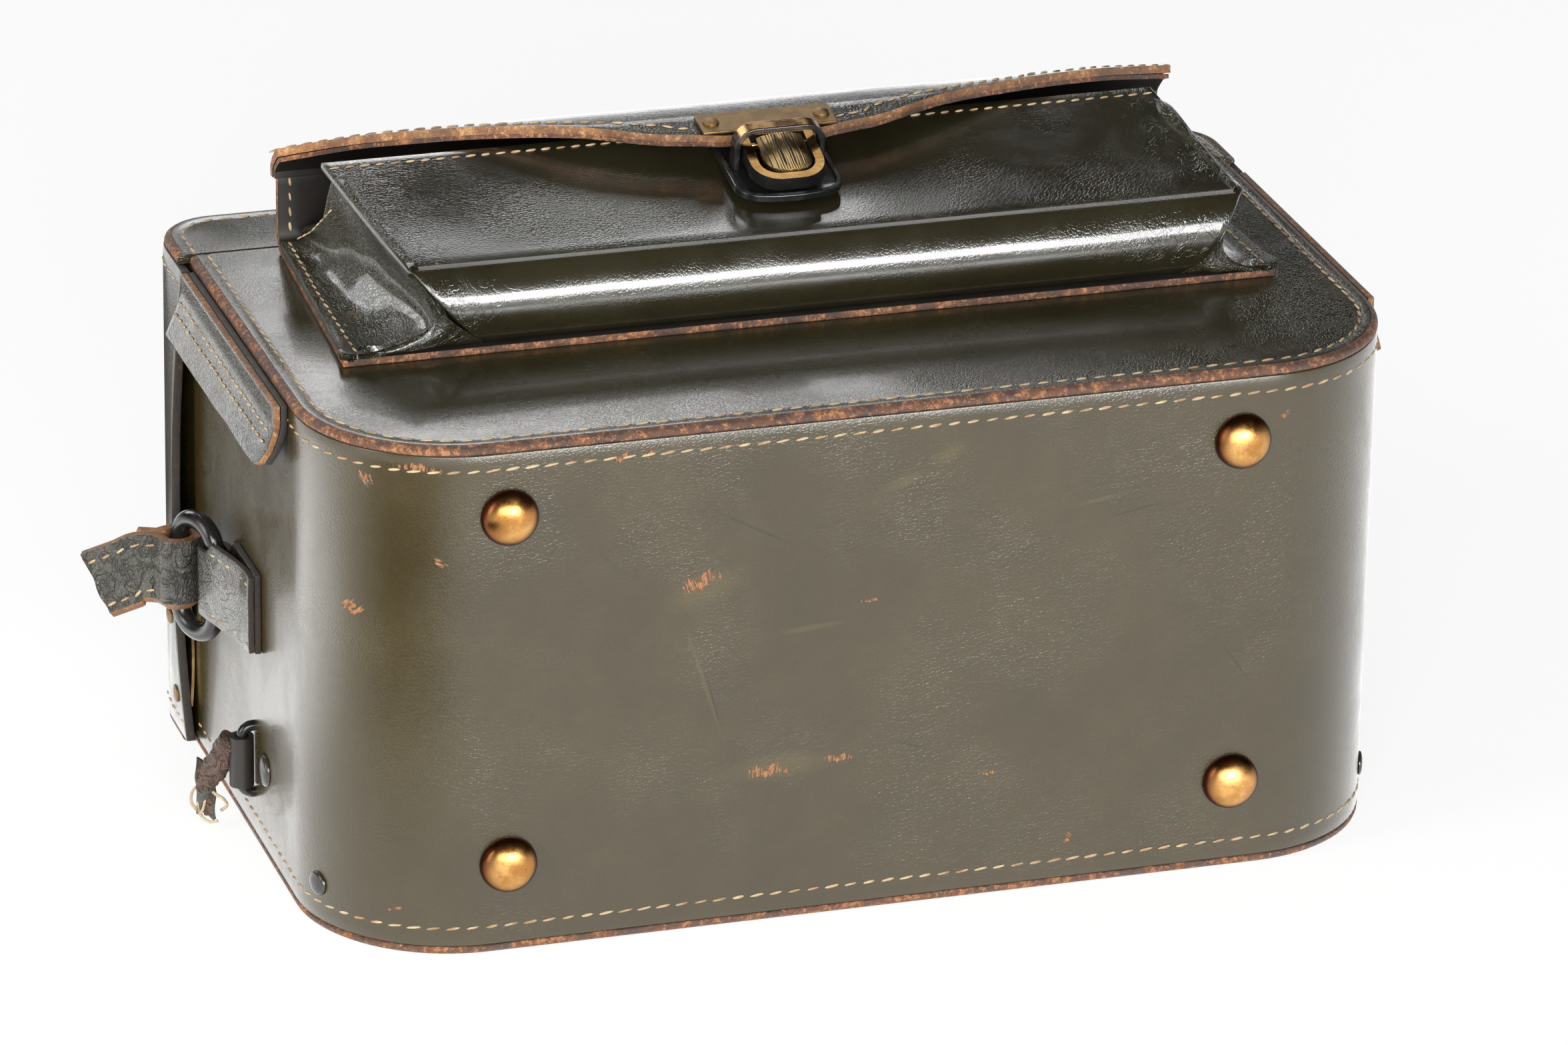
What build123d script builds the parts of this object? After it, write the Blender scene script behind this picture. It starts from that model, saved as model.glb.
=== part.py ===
from build123d import *

import math
import os

# A leather camera outfit case lying on its back, in millimetres.
# X runs across the case, Y from its bottom face up to its lid, Z from its back face to its front.
# Everything is drawn with Y measured from the bottom face, then moved so that the origin is the
# middle of the back face, which the case lies on.

# Case
case_width = 300.0
case_depth = 145.0
case_height = 185.0
lid_line = 155.0
leather = 2.6
corner_radius = 42.0
seam_gap = 1.2
edge_round = 0.8
half_width = case_width / 2
front_inside = case_depth - leather

# Stiffening boards, lining and dividers
board = 2.0
lining_cloth = 1.0
lining_clearance = 0.2
board_end_gap = 3.0
divider_thickness = 4.0
divider_height = 132.0
divider_left_x = -46.0
divider_right_x = 58.0

# Part of the body that tucks into the lid
tuck = 14.0
tuck_back_relief = 1.8
tuck_front_relief = 0.8
collar_taper = 1.5

# Lid
lid_overlap = 5.5
lid_side_clearance = 0.6
lid_bow = 4.0
lid_crown_straight = 18.0
lid_corner_radius = 16.0
lid_lining_thickness = 1.6
lid_open_angle = 90.0

# Spring catch on each end wall of the lid
catch_length = 30.0
catch_width = 7.0
catch_thickness = 0.8
catch_low_z = 12.0
catch_clearance = 0.35
catch_rivet_radius = 2.6
catch_rivet_height = 0.9
catch_rivet_shank = 1.1
catch_rivet_inset = 6.0

# Feet
foot_radius = 7.8
foot_height = 5.4
foot_rim = 1.0
foot_dome_steps = 5
foot_sides = 32
shank_sides = 10
foot_shank_radius = 1.6
foot_burr_radius = 3.6
foot_burr = 0.8
foot_spread = 101.1
feet_shift = -1.9
front_foot_inset = 20.3
back_foot_inset = 25.8
rivet_clearance = 0.05

# Side flaps along the front edges of the end walls
flap_strip = 4.0
flap_strip_seat = 7.0
flap_strip_width = 13.0
flap_strip_lean = 22.0
flap_strip_start = 47.0
flap_strip_end_gap = 0.7
flap_strip_corner = 5.0

# Chape: the leather loop that holds the ring on each end wall
chape_start = 77.0
chape_width = 23.0
chape_loop_width = 19.4
chape_loop_z = 68.5
chape_z = 70.5
chape_thickness = 3.8
chape_rise = 7.0
chape_leather = 2.1

# Oval ring
wire_sides = 12
ring_bend_steps = 10
ring_wire = 5.2
ring_straight = 18.0
ring_bend = 7.4
ring_z = 67.4
ring_clearance = 0.3
ring_lean = 27.0
ring_eye_y = 108.5

# Strap end on the left ring
strap_width = 20.6
strap_leather = 2.8
strap_z = 67.3
strap_loop_radius = 4.2
strap_angle = 24.0
strap_return = 11.0
strap_length = 26.0
strap_neck = 5.5
strap_droop = 24.0
strap_contact = 0.9

# Staple and torn loop low on the end walls
staple_wire = 3.0
staple_height = 22.6
staple_reach = 5.0
staple_y = 86.5
staple_z = 24.4
staple_bend = 3.0
staple_bend_steps = 3
torn_leather = 1.5
torn_clearance = 0.35
torn_width = 14.5
torn_roll_radius = 3.4
torn_roll_start = (-156.3, 89.0, 26.0)
torn_roll_end = (-161.8, 96.5, 12.5)
torn_leaf_thickness = 2.0

# Rivets in the end walls
wall_rivet_radius = 4.6
wall_rivet_height = 2.0
wall_rivet_y = 73.5
wall_rivet_z = 26.6
corner_rivet_radius = 3.4
corner_rivet_height = 1.3
corner_rivet_angle = 20.0
corner_rivet_z = 13.2
wall_rivet_shank = 1.4
rivet_dome_steps = 3
rivet_sides = 16

# Pocket on the front panel
pocket_leather = 2.2
pocket_flange_root_half = 126.0
pocket_flange_low_half = 131.0
pocket_low = 62.5
pocket_root = 153.4
pocket_front_low = 66.0
pocket_bulge = 7.5
pocket_bulge_height = 12.5
pocket_crease_y = 63.5
pocket_crease_height = 26.0
pocket_mouth_y = 120.0
pocket_mouth_height = 37.0
pocket_wall_top = 21.5
pocket_bend = 4.2
pocket_mouth_left = 122.0
pocket_mouth_right = 114.0
pocket_crease_left = 112.8
pocket_crease_right = 120.5
pocket_fold_left = 103.5
pocket_fold_right = 113.0
pocket_heel_left = 91.0
pocket_heel_right = 104.0
gusset_foot_low = 122.3
gusset_foot_high = 120.6
gusset_start = 72.0
gusset_rim_y = 111.0
gusset_end_y = 147.0
gusset_fold_height = 9.5
gusset_fold_rise = 4.0
gusset_fold_drift = 8.0
gusset_fold_y = 60.5
gusset_end_height = 6.5
gusset_end_fold = 1.5
flange_clearance = 0.4

# Pocket flap
flap_leather = 2.2
flap_lining_thickness = 1.3
flap_half = 127.5
flap_edge_y = 101.0
flap_edge_height = 41.2
flap_seat_y = 112.5
flap_seat_height = 43.2
flap_crown_y = 127.5
flap_crown_height = 41.0
flap_shoulder_y = 147.5
flap_shoulder_height = 31.6
flap_fold_drop = 3.0
flap_fold_gap = 0.2
flap_tongue_half = 22.0
flap_side_y = 145.0
flap_tongue_round = 18.0

# Tuck lock
lock_x = -1.5
lock_y = 96.0
base_width = 30.0
base_near = 15.5
base_far = 15.0
base_bulge = 2.6
base_corner = 7.0
base_plate = 1.2
base_rim = 1.0
base_rim_width = 1.5
arch_outer = 25.6
arch_height = 12.7
arch_band = 1.7
arch_depth = 4.2
arch_bend = 6.0
tongue_tilt = 20.0
tongue_height = 39.0
tongue_width = 20.6
tongue_near = 17.0
tongue_far = 4.6
tongue_thickness = 4.4
tongue_frame = 2.5
tongue_floor = 1.0
tongue_corner = 7.6
tongue_chamfer = 0.4
lever_width = 13.0
lever_shift = 0.8
lever_near_clearance = 0.6
lever_far = 1.3
lever_bottom = 0.3
lever_top = 3.0
lever_crown_radius = 15.0
lever_corner = 5.4
lever_ribs = 12
lever_rib_pitch = 0.72
lever_rib_width = 0.34
lever_rib_depth = 0.35
lever_eye_radius = 1.1
lever_pin_radius = 0.6
lever_pin_clearance = 0.06
lever_pin_inset = 0.3
lever_pin_v = 0.4
mount_width = 38.0
mount_length = 10.0
mount_thickness = 1.0
mount_overhang = 1.2
mount_rivet_spread = 15.6
mount_rivet_radius = 2.3
mount_rivet_height = 1.1
mount_rivet_shank = 1.2
mount_rivet_tail = 0.5

side_view = Plane(origin=(0, 0, 0), x_dir=(0, 1, 0), z_dir=(1, 0, 0))
end_view = Plane(origin=(0, 0, 0), x_dir=(1, 0, 0), z_dir=(0, -1, 0))


# Drawing helpers
def front_to_back(sketch, low, high):
    return Pos(0, 0, low) * extrude(sketch, amount=high - low)


def across(sketch, low, high):
    # the sketch is drawn as (y, z) and runs along X
    return Pos(low, 0, 0) * extrude(side_view * sketch, amount=high - low)


def lengthwise(sketch, low, high):
    # the sketch is drawn as (x, z) and runs along Y
    return Pos(0, low, 0) * extrude(end_view * sketch, amount=high - low, dir=(0, 1, 0))


def block(x_range, y_range, z_range):
    size = [high - low for low, high in (x_range, y_range, z_range)]
    middle = [(high + low) / 2 for low, high in (x_range, y_range, z_range)]
    return Pos(*middle) * Box(*size)


def panel_outline(half, low, high, radius, rounded_side):
    blank = Pos(0, (low + high) / 2) * Rectangle(2 * half, high - low)
    return fillet(blank.vertices().group_by(Axis.Y)[rounded_side], radius)


def ribbon(lines, thickness, side, corners=Kind.ARC):
    path = Wire(list(lines))
    return make_face(path.offset_2d(thickness, kind=corners, side=side).edges())


def flat_face(*corners):
    return Face(Wire.make_polygon([Vector(*corner) for corner in corners]))


def faceted(rings, first_cap):
    # a closed solid in flat facets through rings of as many corners each
    faces = list(first_cap)
    count = len(rings[0])
    for near, far in zip(rings, rings[1:]):
        for i in range(count):
            j = (i + 1) % count
            faces.append(flat_face(near[i], near[j], far[j]))
            faces.append(flat_face(near[i], far[j], far[i]))
    faces.append(flat_face(*rings[-1]))
    return Solid(Shell(faces))


def turned(profile, sides):
    # a turned head in flat facets, through (radius, height) from its foot up
    turns = [2 * math.pi * side / sides for side in range(sides)]
    rings = [
        [(radius * math.cos(turn), radius * math.sin(turn), height) for turn in turns]
        for radius, height in profile
    ]
    return faceted(rings, [flat_face(*rings[0])])


def peg(radius, low, high, sides):
    return Pos(0, 0, low) * extrude(RegularPolygon(radius, sides), amount=high - low)


def mirrored(solid):
    return mirror(solid, about=Plane.YZ)


# Case body
def body_outline(inset, top):
    return panel_outline(half_width - inset, inset, top, corner_radius - inset, 0)


def make_body_wrap(shanks):
    tuck_end = lid_line + tuck
    open_end = tuck_end + leather
    ring = body_outline(0, tuck_end) - panel_outline(
        half_width - leather, leather, open_end, corner_radius - leather, 0
    )
    wrap = front_to_back(ring, leather, front_inside)
    tuck_span = (lid_line - seam_gap, tuck_end)
    wrap -= block((-half_width, half_width), tuck_span, (leather, leather + tuck_back_relief))
    wrap -= block(
        (-half_width, half_width), tuck_span, (front_inside - tuck_front_relief, front_inside)
    )
    for shank in shanks:
        wrap -= shank
    return wrap


def make_panel(low_z, high_z, rounded_face):
    panel = front_to_back(body_outline(0, lid_line - seam_gap / 2), low_z, high_z)
    rim = panel.faces().sort_by(Axis.Z)[rounded_face].edges()
    return chamfer(rim, edge_round)


def make_base_board(shanks):
    reach = half_width - corner_radius
    base = block(
        (-reach, reach), (leather, leather + board), (leather + board, front_inside - board)
    )
    for shank in shanks:
        base -= shank
    return base


def make_front_board():
    outline = body_outline(leather + lining_clearance, lid_line - board_end_gap)
    return front_to_back(outline, front_inside - board, front_inside)


def make_back_board():
    tuck_end = lid_line + tuck
    outline = body_outline(leather + lining_clearance, tuck_end)
    slab = front_to_back(outline, leather, leather + board)
    wedge = make_face(
        Polyline(
            (lid_line - seam_gap, leather),
            (tuck_end, leather),
            (tuck_end, leather + collar_taper),
            close=True,
        )
    )
    return slab - across(wedge, -half_width, half_width)


lining_floor = leather + board + foot_burr + lining_clearance
lining_low_z = leather + board + lining_clearance
lining_high_z = front_inside - board - lining_clearance


def lining_form(grow, top):
    inset = leather + lining_clearance + grow
    outline = panel_outline(
        half_width - inset, lining_floor + grow, top, corner_radius - lining_floor - grow, 0
    )
    return front_to_back(outline, lining_low_z + grow, lining_high_z - grow)


def make_lining():
    tuck_end = lid_line + tuck
    shell = lining_form(0, tuck_end) - lining_form(lining_cloth, tuck_end + leather)
    front_strip = block(
        (-half_width, half_width),
        (lid_line - board_end_gap, tuck_end),
        (lining_high_z - lining_cloth, lining_high_z),
    )
    return shell - front_strip


def make_divider(middle_x):
    floor = lining_floor + lining_cloth + lining_clearance
    gap = lining_cloth + lining_clearance
    blank = block(
        (middle_x - divider_thickness / 2, middle_x + divider_thickness / 2),
        (floor, floor + divider_height),
        (lining_low_z + gap, lining_high_z - gap),
    )
    rims = blank.faces().sort_by(Axis.Y)[-1].edges().filter_by(Axis.Z)
    return fillet(rims, divider_thickness / 2 - edge_round)


# Feet and rivets
def foot_places():
    columns = {"left": feet_shift - foot_spread, "right": feet_shift + foot_spread}
    rows = {"front": case_depth - front_foot_inset, "back": back_foot_inset}
    return {
        f"foot_{row}_{side}": (x, z) for side, x in columns.items() for row, z in rows.items()
    }


def dome_points(radius, height, rim, steps):
    # a dome's profile from its foot up to its small flat crown
    turns = [math.pi / 2 * step / steps for step in range(steps)]
    rise = [(radius * math.cos(t), rim + (height - rim) * math.sin(t)) for t in turns]
    crown = (rise[-1][0] / 3, height)
    return [(radius, 0), *rise, crown]


def make_foot(x, z):
    depth = leather + board
    turned_foot = turned(dome_points(foot_radius, foot_height, foot_rim, foot_dome_steps), foot_sides)
    turned_foot += peg(foot_shank_radius, -depth, 0, shank_sides)
    turned_foot += peg(foot_burr_radius, -depth - foot_burr, -depth, shank_sides)
    return Pos(x, 0, z) * Rot(90, 0, 0) * turned_foot


def make_rivet(radius, height, shank_radius, shank_length):
    # a domed head on the plane z = 0 with its shank below it
    head = turned(dome_points(radius, height, height / 3, rivet_dome_steps), rivet_sides)
    return head + peg(shank_radius, -shank_length, 0, shank_sides)


def wall_rivet_place():
    return Pos(-half_width, wall_rivet_y, wall_rivet_z) * Rot(0, -90, 0)


def corner_rivet_place():
    turn = math.radians(corner_rivet_angle)
    centre_x = -(half_width - corner_radius)
    x = centre_x - corner_radius * math.cos(turn)
    y = corner_radius - corner_radius * math.sin(turn)
    return Pos(x, y, corner_rivet_z) * Rot(0, 0, corner_rivet_angle) * Rot(0, -90, 0)


def rivet_hole(place, radius):
    reach = 3 * leather
    return place * peg(radius + rivet_clearance, -reach, reach, shank_sides)


# Side flaps
def make_side_flap():
    lean = math.radians(flap_strip_lean)
    top = (-half_width, front_inside)
    seat_low = (-half_width, front_inside - flap_strip_seat)
    tip = (
        seat_low[0] - flap_strip_width * math.sin(lean),
        seat_low[1] - flap_strip_width * math.cos(lean),
    )
    section = ribbon(Polyline(top, seat_low, tip).edges(), flap_strip, Side.RIGHT)
    high = lid_line - lid_overlap - flap_strip_end_gap
    strip = lengthwise(section, flap_strip_start, high)
    low_end = strip.faces().sort_by(Axis.Y)[0]
    corner_line = low_end.edges().sort_by(Axis.Z)[0]
    return fillet(corner_line, flap_strip_corner)


# Chape, ring, strap end
def ring_frame():
    # local x from the near limb's eye to the far limb, local y along the limbs
    lean = math.radians(ring_lean)
    eye_x = -(half_width + ring_wire / 2 + ring_clearance + chape_leather)
    outward = (-math.sin(lean), math.cos(lean), 0)
    return Plane(origin=(eye_x, ring_eye_y, ring_z), x_dir=outward, z_dir=(outward[1], -outward[0], 0))


def wire_corners(frame, centre, across, radius):
    # corners of the wire's section, which lies between the local z and the across direction
    corners = []
    for side in range(wire_sides):
        turn = 2 * math.pi * (side + 0.5) / wire_sides
        out = radius * math.cos(turn)
        local = (centre[0] + out * across[0], centre[1] + out * across[1], radius * math.sin(turn))
        corners.append(tuple(frame.from_local_coords(Vector(*local))))
    return corners


def make_ring():
    # a closed run of round sections, each turned square to the wire
    half = ring_straight / 2
    frame = ring_frame()
    sections = []
    for end in (1, -1):
        for step in range(ring_bend_steps + 1):
            turn = math.pi * step / ring_bend_steps
            x = ring_bend * (1 - end * math.cos(turn))
            y = end * (half + ring_bend * math.sin(turn))
            sections.append(((x, y), (-end * math.cos(turn), end * math.sin(turn))))
    rings = [wire_corners(frame, centre, across, ring_wire / 2) for centre, across in sections]
    rings.append(rings[0])
    faces = []
    for near, far in zip(rings, rings[1:]):
        for i in range(wire_sides):
            j = (i + 1) % wire_sides
            faces.append(flat_face(near[i], near[j], far[j]))
            faces.append(flat_face(near[i], far[j], far[i]))
    return Solid(Shell(faces))


def make_chape():
    eye = ring_frame().origin
    hole = ring_wire / 2 + ring_clearance
    outer = hole + chape_leather
    wall = -half_width
    body = make_face(
        Polyline(
            (wall, chape_start),
            (wall - chape_thickness, chape_start),
            (wall - chape_thickness - 0.4, chape_start + chape_rise),
            (eye.X - outer * 0.94, eye.Y - outer * 0.34),
            (eye.X, eye.Y),
            (wall, eye.Y),
            close=True,
        )
    )
    section = body + Pos(eye.X, eye.Y) * Circle(outer) - Pos(eye.X, eye.Y) * Circle(hole)
    blank = front_to_back(section, chape_z - chape_width / 2, chape_z + chape_width / 2)
    loop_low = chape_loop_z - chape_loop_width / 2
    loop_high = chape_loop_z + chape_loop_width / 2
    plan = make_face(
        Polyline(
            (chape_start, chape_z - chape_width / 2),
            (eye.Y - 1.5 * outer, chape_z - chape_width / 2),
            (eye.Y - 0.7 * outer, loop_low),
            (eye.Y + outer, loop_low),
            (eye.Y + outer, loop_high),
            (eye.Y - 0.7 * outer, loop_high),
            (eye.Y - 1.5 * outer, chape_z + chape_width / 2),
            (chape_start, chape_z + chape_width / 2),
            close=True,
        )
    )
    return blank & across(plan, wall - 4 * outer, wall)


def strap_frame():
    # local x points along the strap, away from the ring
    frame = ring_frame()
    limb = frame.from_local_coords(Vector(2 * ring_bend, 0, 0))
    turn = math.radians(strap_angle)
    along = Vector(-math.cos(turn), math.sin(turn), 0)
    play = strap_loop_radius - ring_wire / 2 - strap_contact
    centre = limb + along * play
    return Plane(origin=(centre.X, centre.Y, strap_z), x_dir=tuple(along), z_dir=(0, 0, 1))


def make_strap_end():
    outer = strap_loop_radius + strap_leather
    loop = Circle(outer)
    cheek = make_face(
        Polyline(
            (0, outer),
            (0, -outer),
            (strap_neck, -strap_leather),
            (strap_neck, strap_leather),
            close=True,
        )
    )
    throat = make_face(
        Polyline(
            (0, -strap_loop_radius),
            (strap_neck, 0),
            (0, strap_loop_radius),
            close=True,
        )
    )
    lap = Pos((strap_neck + strap_return) / 2, 0) * Rectangle(
        strap_return - strap_neck, 2 * strap_leather
    )
    solid = extrude(loop + cheek + lap - throat, amount=strap_width / 2, both=True)
    bend = Pos(strap_return - strap_leather, 0, 0) * Rot(0, strap_droop, 0)
    tail_length = strap_length - strap_return
    solid += bend * Pos(tail_length / 2, strap_leather / 2, 0) * Box(
        tail_length, strap_leather, strap_width
    )
    solid -= Cylinder(strap_loop_radius, 2 * strap_width)
    return strap_frame() * solid


# Staple and torn loop
def staple_bar():
    return (-(half_width + staple_reach - staple_wire / 2), staple_y, staple_z)


def make_staple():
    bar_x = staple_bar()[0]
    half = (staple_height - staple_wire) / 2
    foot_x = -(half_width - leather)
    frame = Plane(origin=(0, staple_y, 0), x_dir=(1, 0, 0), z_dir=(0, -1, 0))
    sections = [((foot_x, staple_z - half), (0, -1))]
    for end in (-1, 1):
        for step in range(staple_bend_steps + 1):
            turn = math.pi / 2 * (step if end < 0 else staple_bend_steps - step) / staple_bend_steps
            out = (-math.sin(turn), end * math.cos(turn))
            x = bar_x + staple_bend * (1 + out[0])
            z = staple_z + end * (half - staple_bend) + staple_bend * out[1]
            sections.append(((x, z), out))
    sections.append(((foot_x, staple_z + half), (0, 1)))
    rings = [wire_corners(frame, centre, out, staple_wire / 2) for centre, out in sections]
    return faceted(rings, [flat_face(*rings[0])])


def make_torn_loop():
    bar_x, bar_y, bar_z = staple_bar()
    hole = staple_wire / 2 + torn_clearance
    outer = hole + torn_leather
    low = bar_z - torn_width / 2
    high = bar_z + torn_width / 2
    loop = front_to_back(Pos(bar_x, bar_y) * Circle(outer), low, high)
    roll_axis = Vector(*torn_roll_end) - Vector(*torn_roll_start)
    roll = Plane(origin=torn_roll_start, z_dir=tuple(roll_axis)) * Cylinder(
        torn_roll_radius, roll_axis.length, align=(Align.CENTER, Align.CENTER, Align.MIN)
    )
    flake_side = roll_axis.cross(Vector(0, 0, 1))
    flake = Plane(origin=torn_roll_end, x_dir=(0, 0, -1), z_dir=tuple(flake_side))
    outline = make_face(
        Polyline(
            (-4.0, -9.0),
            (5.0, -8.0),
            (9.5, -2.0),
            (7.0, 2.5),
            (-1.0, 3.0),
            close=True,
        )
    )
    leaf = flake * extrude(outline, amount=torn_leaf_thickness / 2, both=True)
    bore = Pos(bar_x, bar_y, bar_z) * Cylinder(hole, 3 * staple_height)
    return (loop + roll + leaf) - bore


# Lid
lid_half = half_width + lid_side_clearance + leather


def lid_form(inset, low, high):
    # the crown of the lid seen from the front, narrowed by the bowed ends seen from below
    half = lid_half - inset
    flare_end = case_height - lid_crown_straight
    crown = make_face(
        Polyline(
            (-half - lid_bow, low),
            (half + lid_bow, low),
            (half + seam_gap / 2, flare_end),
            (half, high),
            (-half, high),
            (-half - seam_gap / 2, flare_end),
            close=True,
        )
    )
    crown = fillet(crown.vertices().group_by(Axis.Y)[-1], lid_corner_radius - inset)
    bowed = make_face(
        [
            *ThreePointArc(
                (-half, case_depth), (-half - lid_bow, case_depth / 2), (-half, 0)
            ).edges(),
            *Line((-half, 0), (half, 0)).edges(),
            *ThreePointArc(
                (half, 0), (half + lid_bow, case_depth / 2), (half, case_depth)
            ).edges(),
            *Line((half, case_depth), (-half, case_depth)).edges(),
        ]
    )
    return front_to_back(crown, 0, case_depth) & lengthwise(bowed, low, high)


def make_lid_wrap(shanks):
    low = lid_line - lid_overlap
    shell = lid_form(0, low, case_height) - lid_form(leather, low - leather, case_height - leather)
    wall = block(
        (-2 * half_width, 2 * half_width), (low, case_height), (leather, front_inside)
    )
    shell &= wall
    for shank in shanks:
        shell -= shank
    return shell


def make_lid_apron(low_z, high_z, rounded_face):
    outline = panel_outline(
        lid_half, lid_line + seam_gap / 2, case_height, lid_corner_radius, -1
    )
    plate = front_to_back(outline, low_z, high_z)
    rim = plate.faces().sort_by(Axis.Z)[rounded_face].edges()
    return chamfer(rim, edge_round)


def make_lid_lining():
    reach = lid_half - lid_corner_radius
    high = case_height - leather
    plate = block(
        (-reach, reach),
        (high - lid_lining_thickness, high),
        (leather + board, front_inside - board),
    )
    return fillet(plate.edges().filter_by(Axis.Y), corner_radius / 4)


def bow_at(z):
    share = (z - case_depth / 2) / (case_depth / 2)
    return lid_bow * (1 - share * share)


def make_catch():
    # a leaf sprung inwards between its two riveted ends
    middle_z = catch_low_z + catch_length / 2
    inner_face = -(half_width + lid_side_clearance + bow_at(catch_low_z))
    bulge = -(half_width + catch_clearance)
    seat = inner_face + catch_thickness
    arc = ThreePointArc(
        (seat, catch_low_z), (bulge, middle_z), (seat, catch_low_z + catch_length)
    )
    leaf = ribbon(arc.edges(), catch_thickness, Side.LEFT)
    low_y = lid_line - lid_overlap / 2
    return lengthwise(leaf, low_y, low_y + catch_width)


def catch_rivet_places():
    places = {}
    y = lid_line - lid_overlap / 2 + catch_width / 2
    spots = {
        "low": catch_low_z + catch_rivet_inset / 2,
        "high": catch_low_z + catch_length - catch_rivet_inset / 2,
    }
    for name, z in spots.items():
        x = -(lid_half + bow_at(z))
        places[name] = Pos(x, y, z) * Rot(0, -90, 0)
    return places


# Pocket
def pocket_slope():
    rise = pocket_mouth_height - pocket_crease_height
    return math.degrees(math.atan2(rise, pocket_mouth_y - pocket_crease_y))


def on_front(height):
    return case_depth + height


def pocket_back_plan():
    corners = [
        (-pocket_flange_low_half, pocket_low),
        (pocket_flange_low_half, pocket_low),
        (pocket_flange_root_half, pocket_root),
        (-pocket_flange_root_half, pocket_root),
    ]
    return make_face(Polyline(*corners, close=True))


def make_pocket_back():
    root = pocket_root
    lines = Polyline(
        (pocket_low, on_front(0)),
        (root - pocket_bend, on_front(0)),
        (root, on_front(pocket_bend)),
        (root, on_front(pocket_wall_top)),
    )
    section = ribbon(lines.edges(), pocket_leather, Side.LEFT)
    sheet = across(section, -pocket_flange_low_half, pocket_flange_low_half)
    return sheet & front_to_back(pocket_back_plan(), case_depth, 2 * case_depth)


def pocket_front_lines():
    bulge_y = pocket_front_low - pocket_bulge
    base = (pocket_front_low, on_front(pocket_leather))
    crease = (pocket_crease_y, on_front(pocket_crease_height))
    lower = ThreePointArc(base, (bulge_y, on_front(pocket_bulge_height)), crease)
    upper = Line(crease, (pocket_mouth_y, on_front(pocket_mouth_height)))
    return [*lower.edges(), *upper.edges()]


def pocket_front_plan():
    # the slumped front leans to the right from its mouth down to its crease
    near = pocket_crease_y - 2 * pocket_bulge
    plan = make_face(
        Polyline(
            (-pocket_crease_left, near),
            (pocket_crease_right, near),
            (pocket_crease_right, pocket_crease_y),
            (pocket_mouth_right, pocket_mouth_y),
            (pocket_mouth_right, pocket_root),
            (-pocket_mouth_left, pocket_root),
            (-pocket_mouth_left, pocket_mouth_y),
            (-pocket_crease_left, pocket_crease_y),
            close=True,
        )
    )
    return front_to_back(plan, case_depth, 2 * case_depth)


def heel_cut(crease, heel, height, y_range):
    # what the lower front leaves to the folded corner beside it, on the right
    outer = 2 * crease
    side = make_face(
        Polyline(
            (crease, on_front(height)),
            (heel, on_front(pocket_leather)),
            (heel, on_front(0)),
            (outer, on_front(0)),
            (outer, on_front(height)),
            close=True,
        )
    )
    return lengthwise(side, *y_range)


def make_pocket_front():
    section = ribbon(pocket_front_lines(), pocket_leather, Side.RIGHT)
    front = across(section, -half_width, half_width) & pocket_front_plan()
    below_crease = (pocket_crease_height, (pocket_crease_y - 2 * pocket_bulge, pocket_crease_y))
    behind_crease = (pocket_crease_height / 2, (pocket_crease_y, pocket_root))
    for reach in (below_crease, behind_crease):
        front -= heel_cut(pocket_crease_right, pocket_heel_right, *reach)
        front -= mirrored(heel_cut(pocket_crease_left, pocket_heel_left, *reach))
    return front


def front_height(y):
    share = (y - pocket_crease_y) / (pocket_mouth_y - pocket_crease_y)
    return pocket_crease_height + share * (pocket_mouth_height - pocket_crease_height)


def moved_in(before, corner, after, distance):
    # where the two lines that meet at a corner meet once both have moved to their left
    first = (Vector(*corner) - Vector(*before)).normalized()
    second = (Vector(*after) - Vector(*corner)).normalized()
    normals = [Vector(-line.Y, line.X) for line in (first, second)]
    share = distance / (1 + normals[0].dot(normals[1]))
    moved = Vector(*corner) + (normals[0] + normals[1]) * share
    return (moved.X, moved.Y)


def gusset_ring(y, foot, fold, top):
    # the wall's section from its foot in to its fold and out to its top, then back inside
    slope = Vector(fold[0] - foot[0], fold[1] - foot[1])
    inner_foot = (foot[0] - pocket_leather * slope.length / slope.Y, foot[1])
    inner_fold = moved_in(foot, fold, top, pocket_leather)
    inner_top = (top[0] - pocket_leather, top[1])
    section = [foot, fold, top, inner_top, inner_fold, inner_foot]
    return [(x, y, on_front(height)) for x, height in section]


def gusset_lines(mouth, crease, fold):
    # y of each section of the wall with its foot, fold and top as (x, height)
    def edge(y):
        share = (y - pocket_crease_y) / (pocket_mouth_y - pocket_crease_y)
        return (crease + share * (mouth - crease), front_height(y))

    near_foot = (gusset_foot_low, pocket_leather)
    far_foot = (gusset_foot_high, pocket_leather)
    near_fold = (fold + gusset_end_fold, gusset_fold_height + 1)
    rim_edge = edge(gusset_rim_y)
    rim_fold = (rim_edge[0] - gusset_fold_drift, gusset_fold_height + gusset_fold_rise)
    end_fold = (far_foot[0] - gusset_end_fold, (pocket_leather + gusset_end_height) / 2)
    return [
        (gusset_start, near_foot, near_fold, edge(gusset_start)),
        (gusset_rim_y, far_foot, rim_fold, rim_edge),
        (gusset_end_y, far_foot, end_fold, (far_foot[0], gusset_end_height)),
    ]


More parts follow.
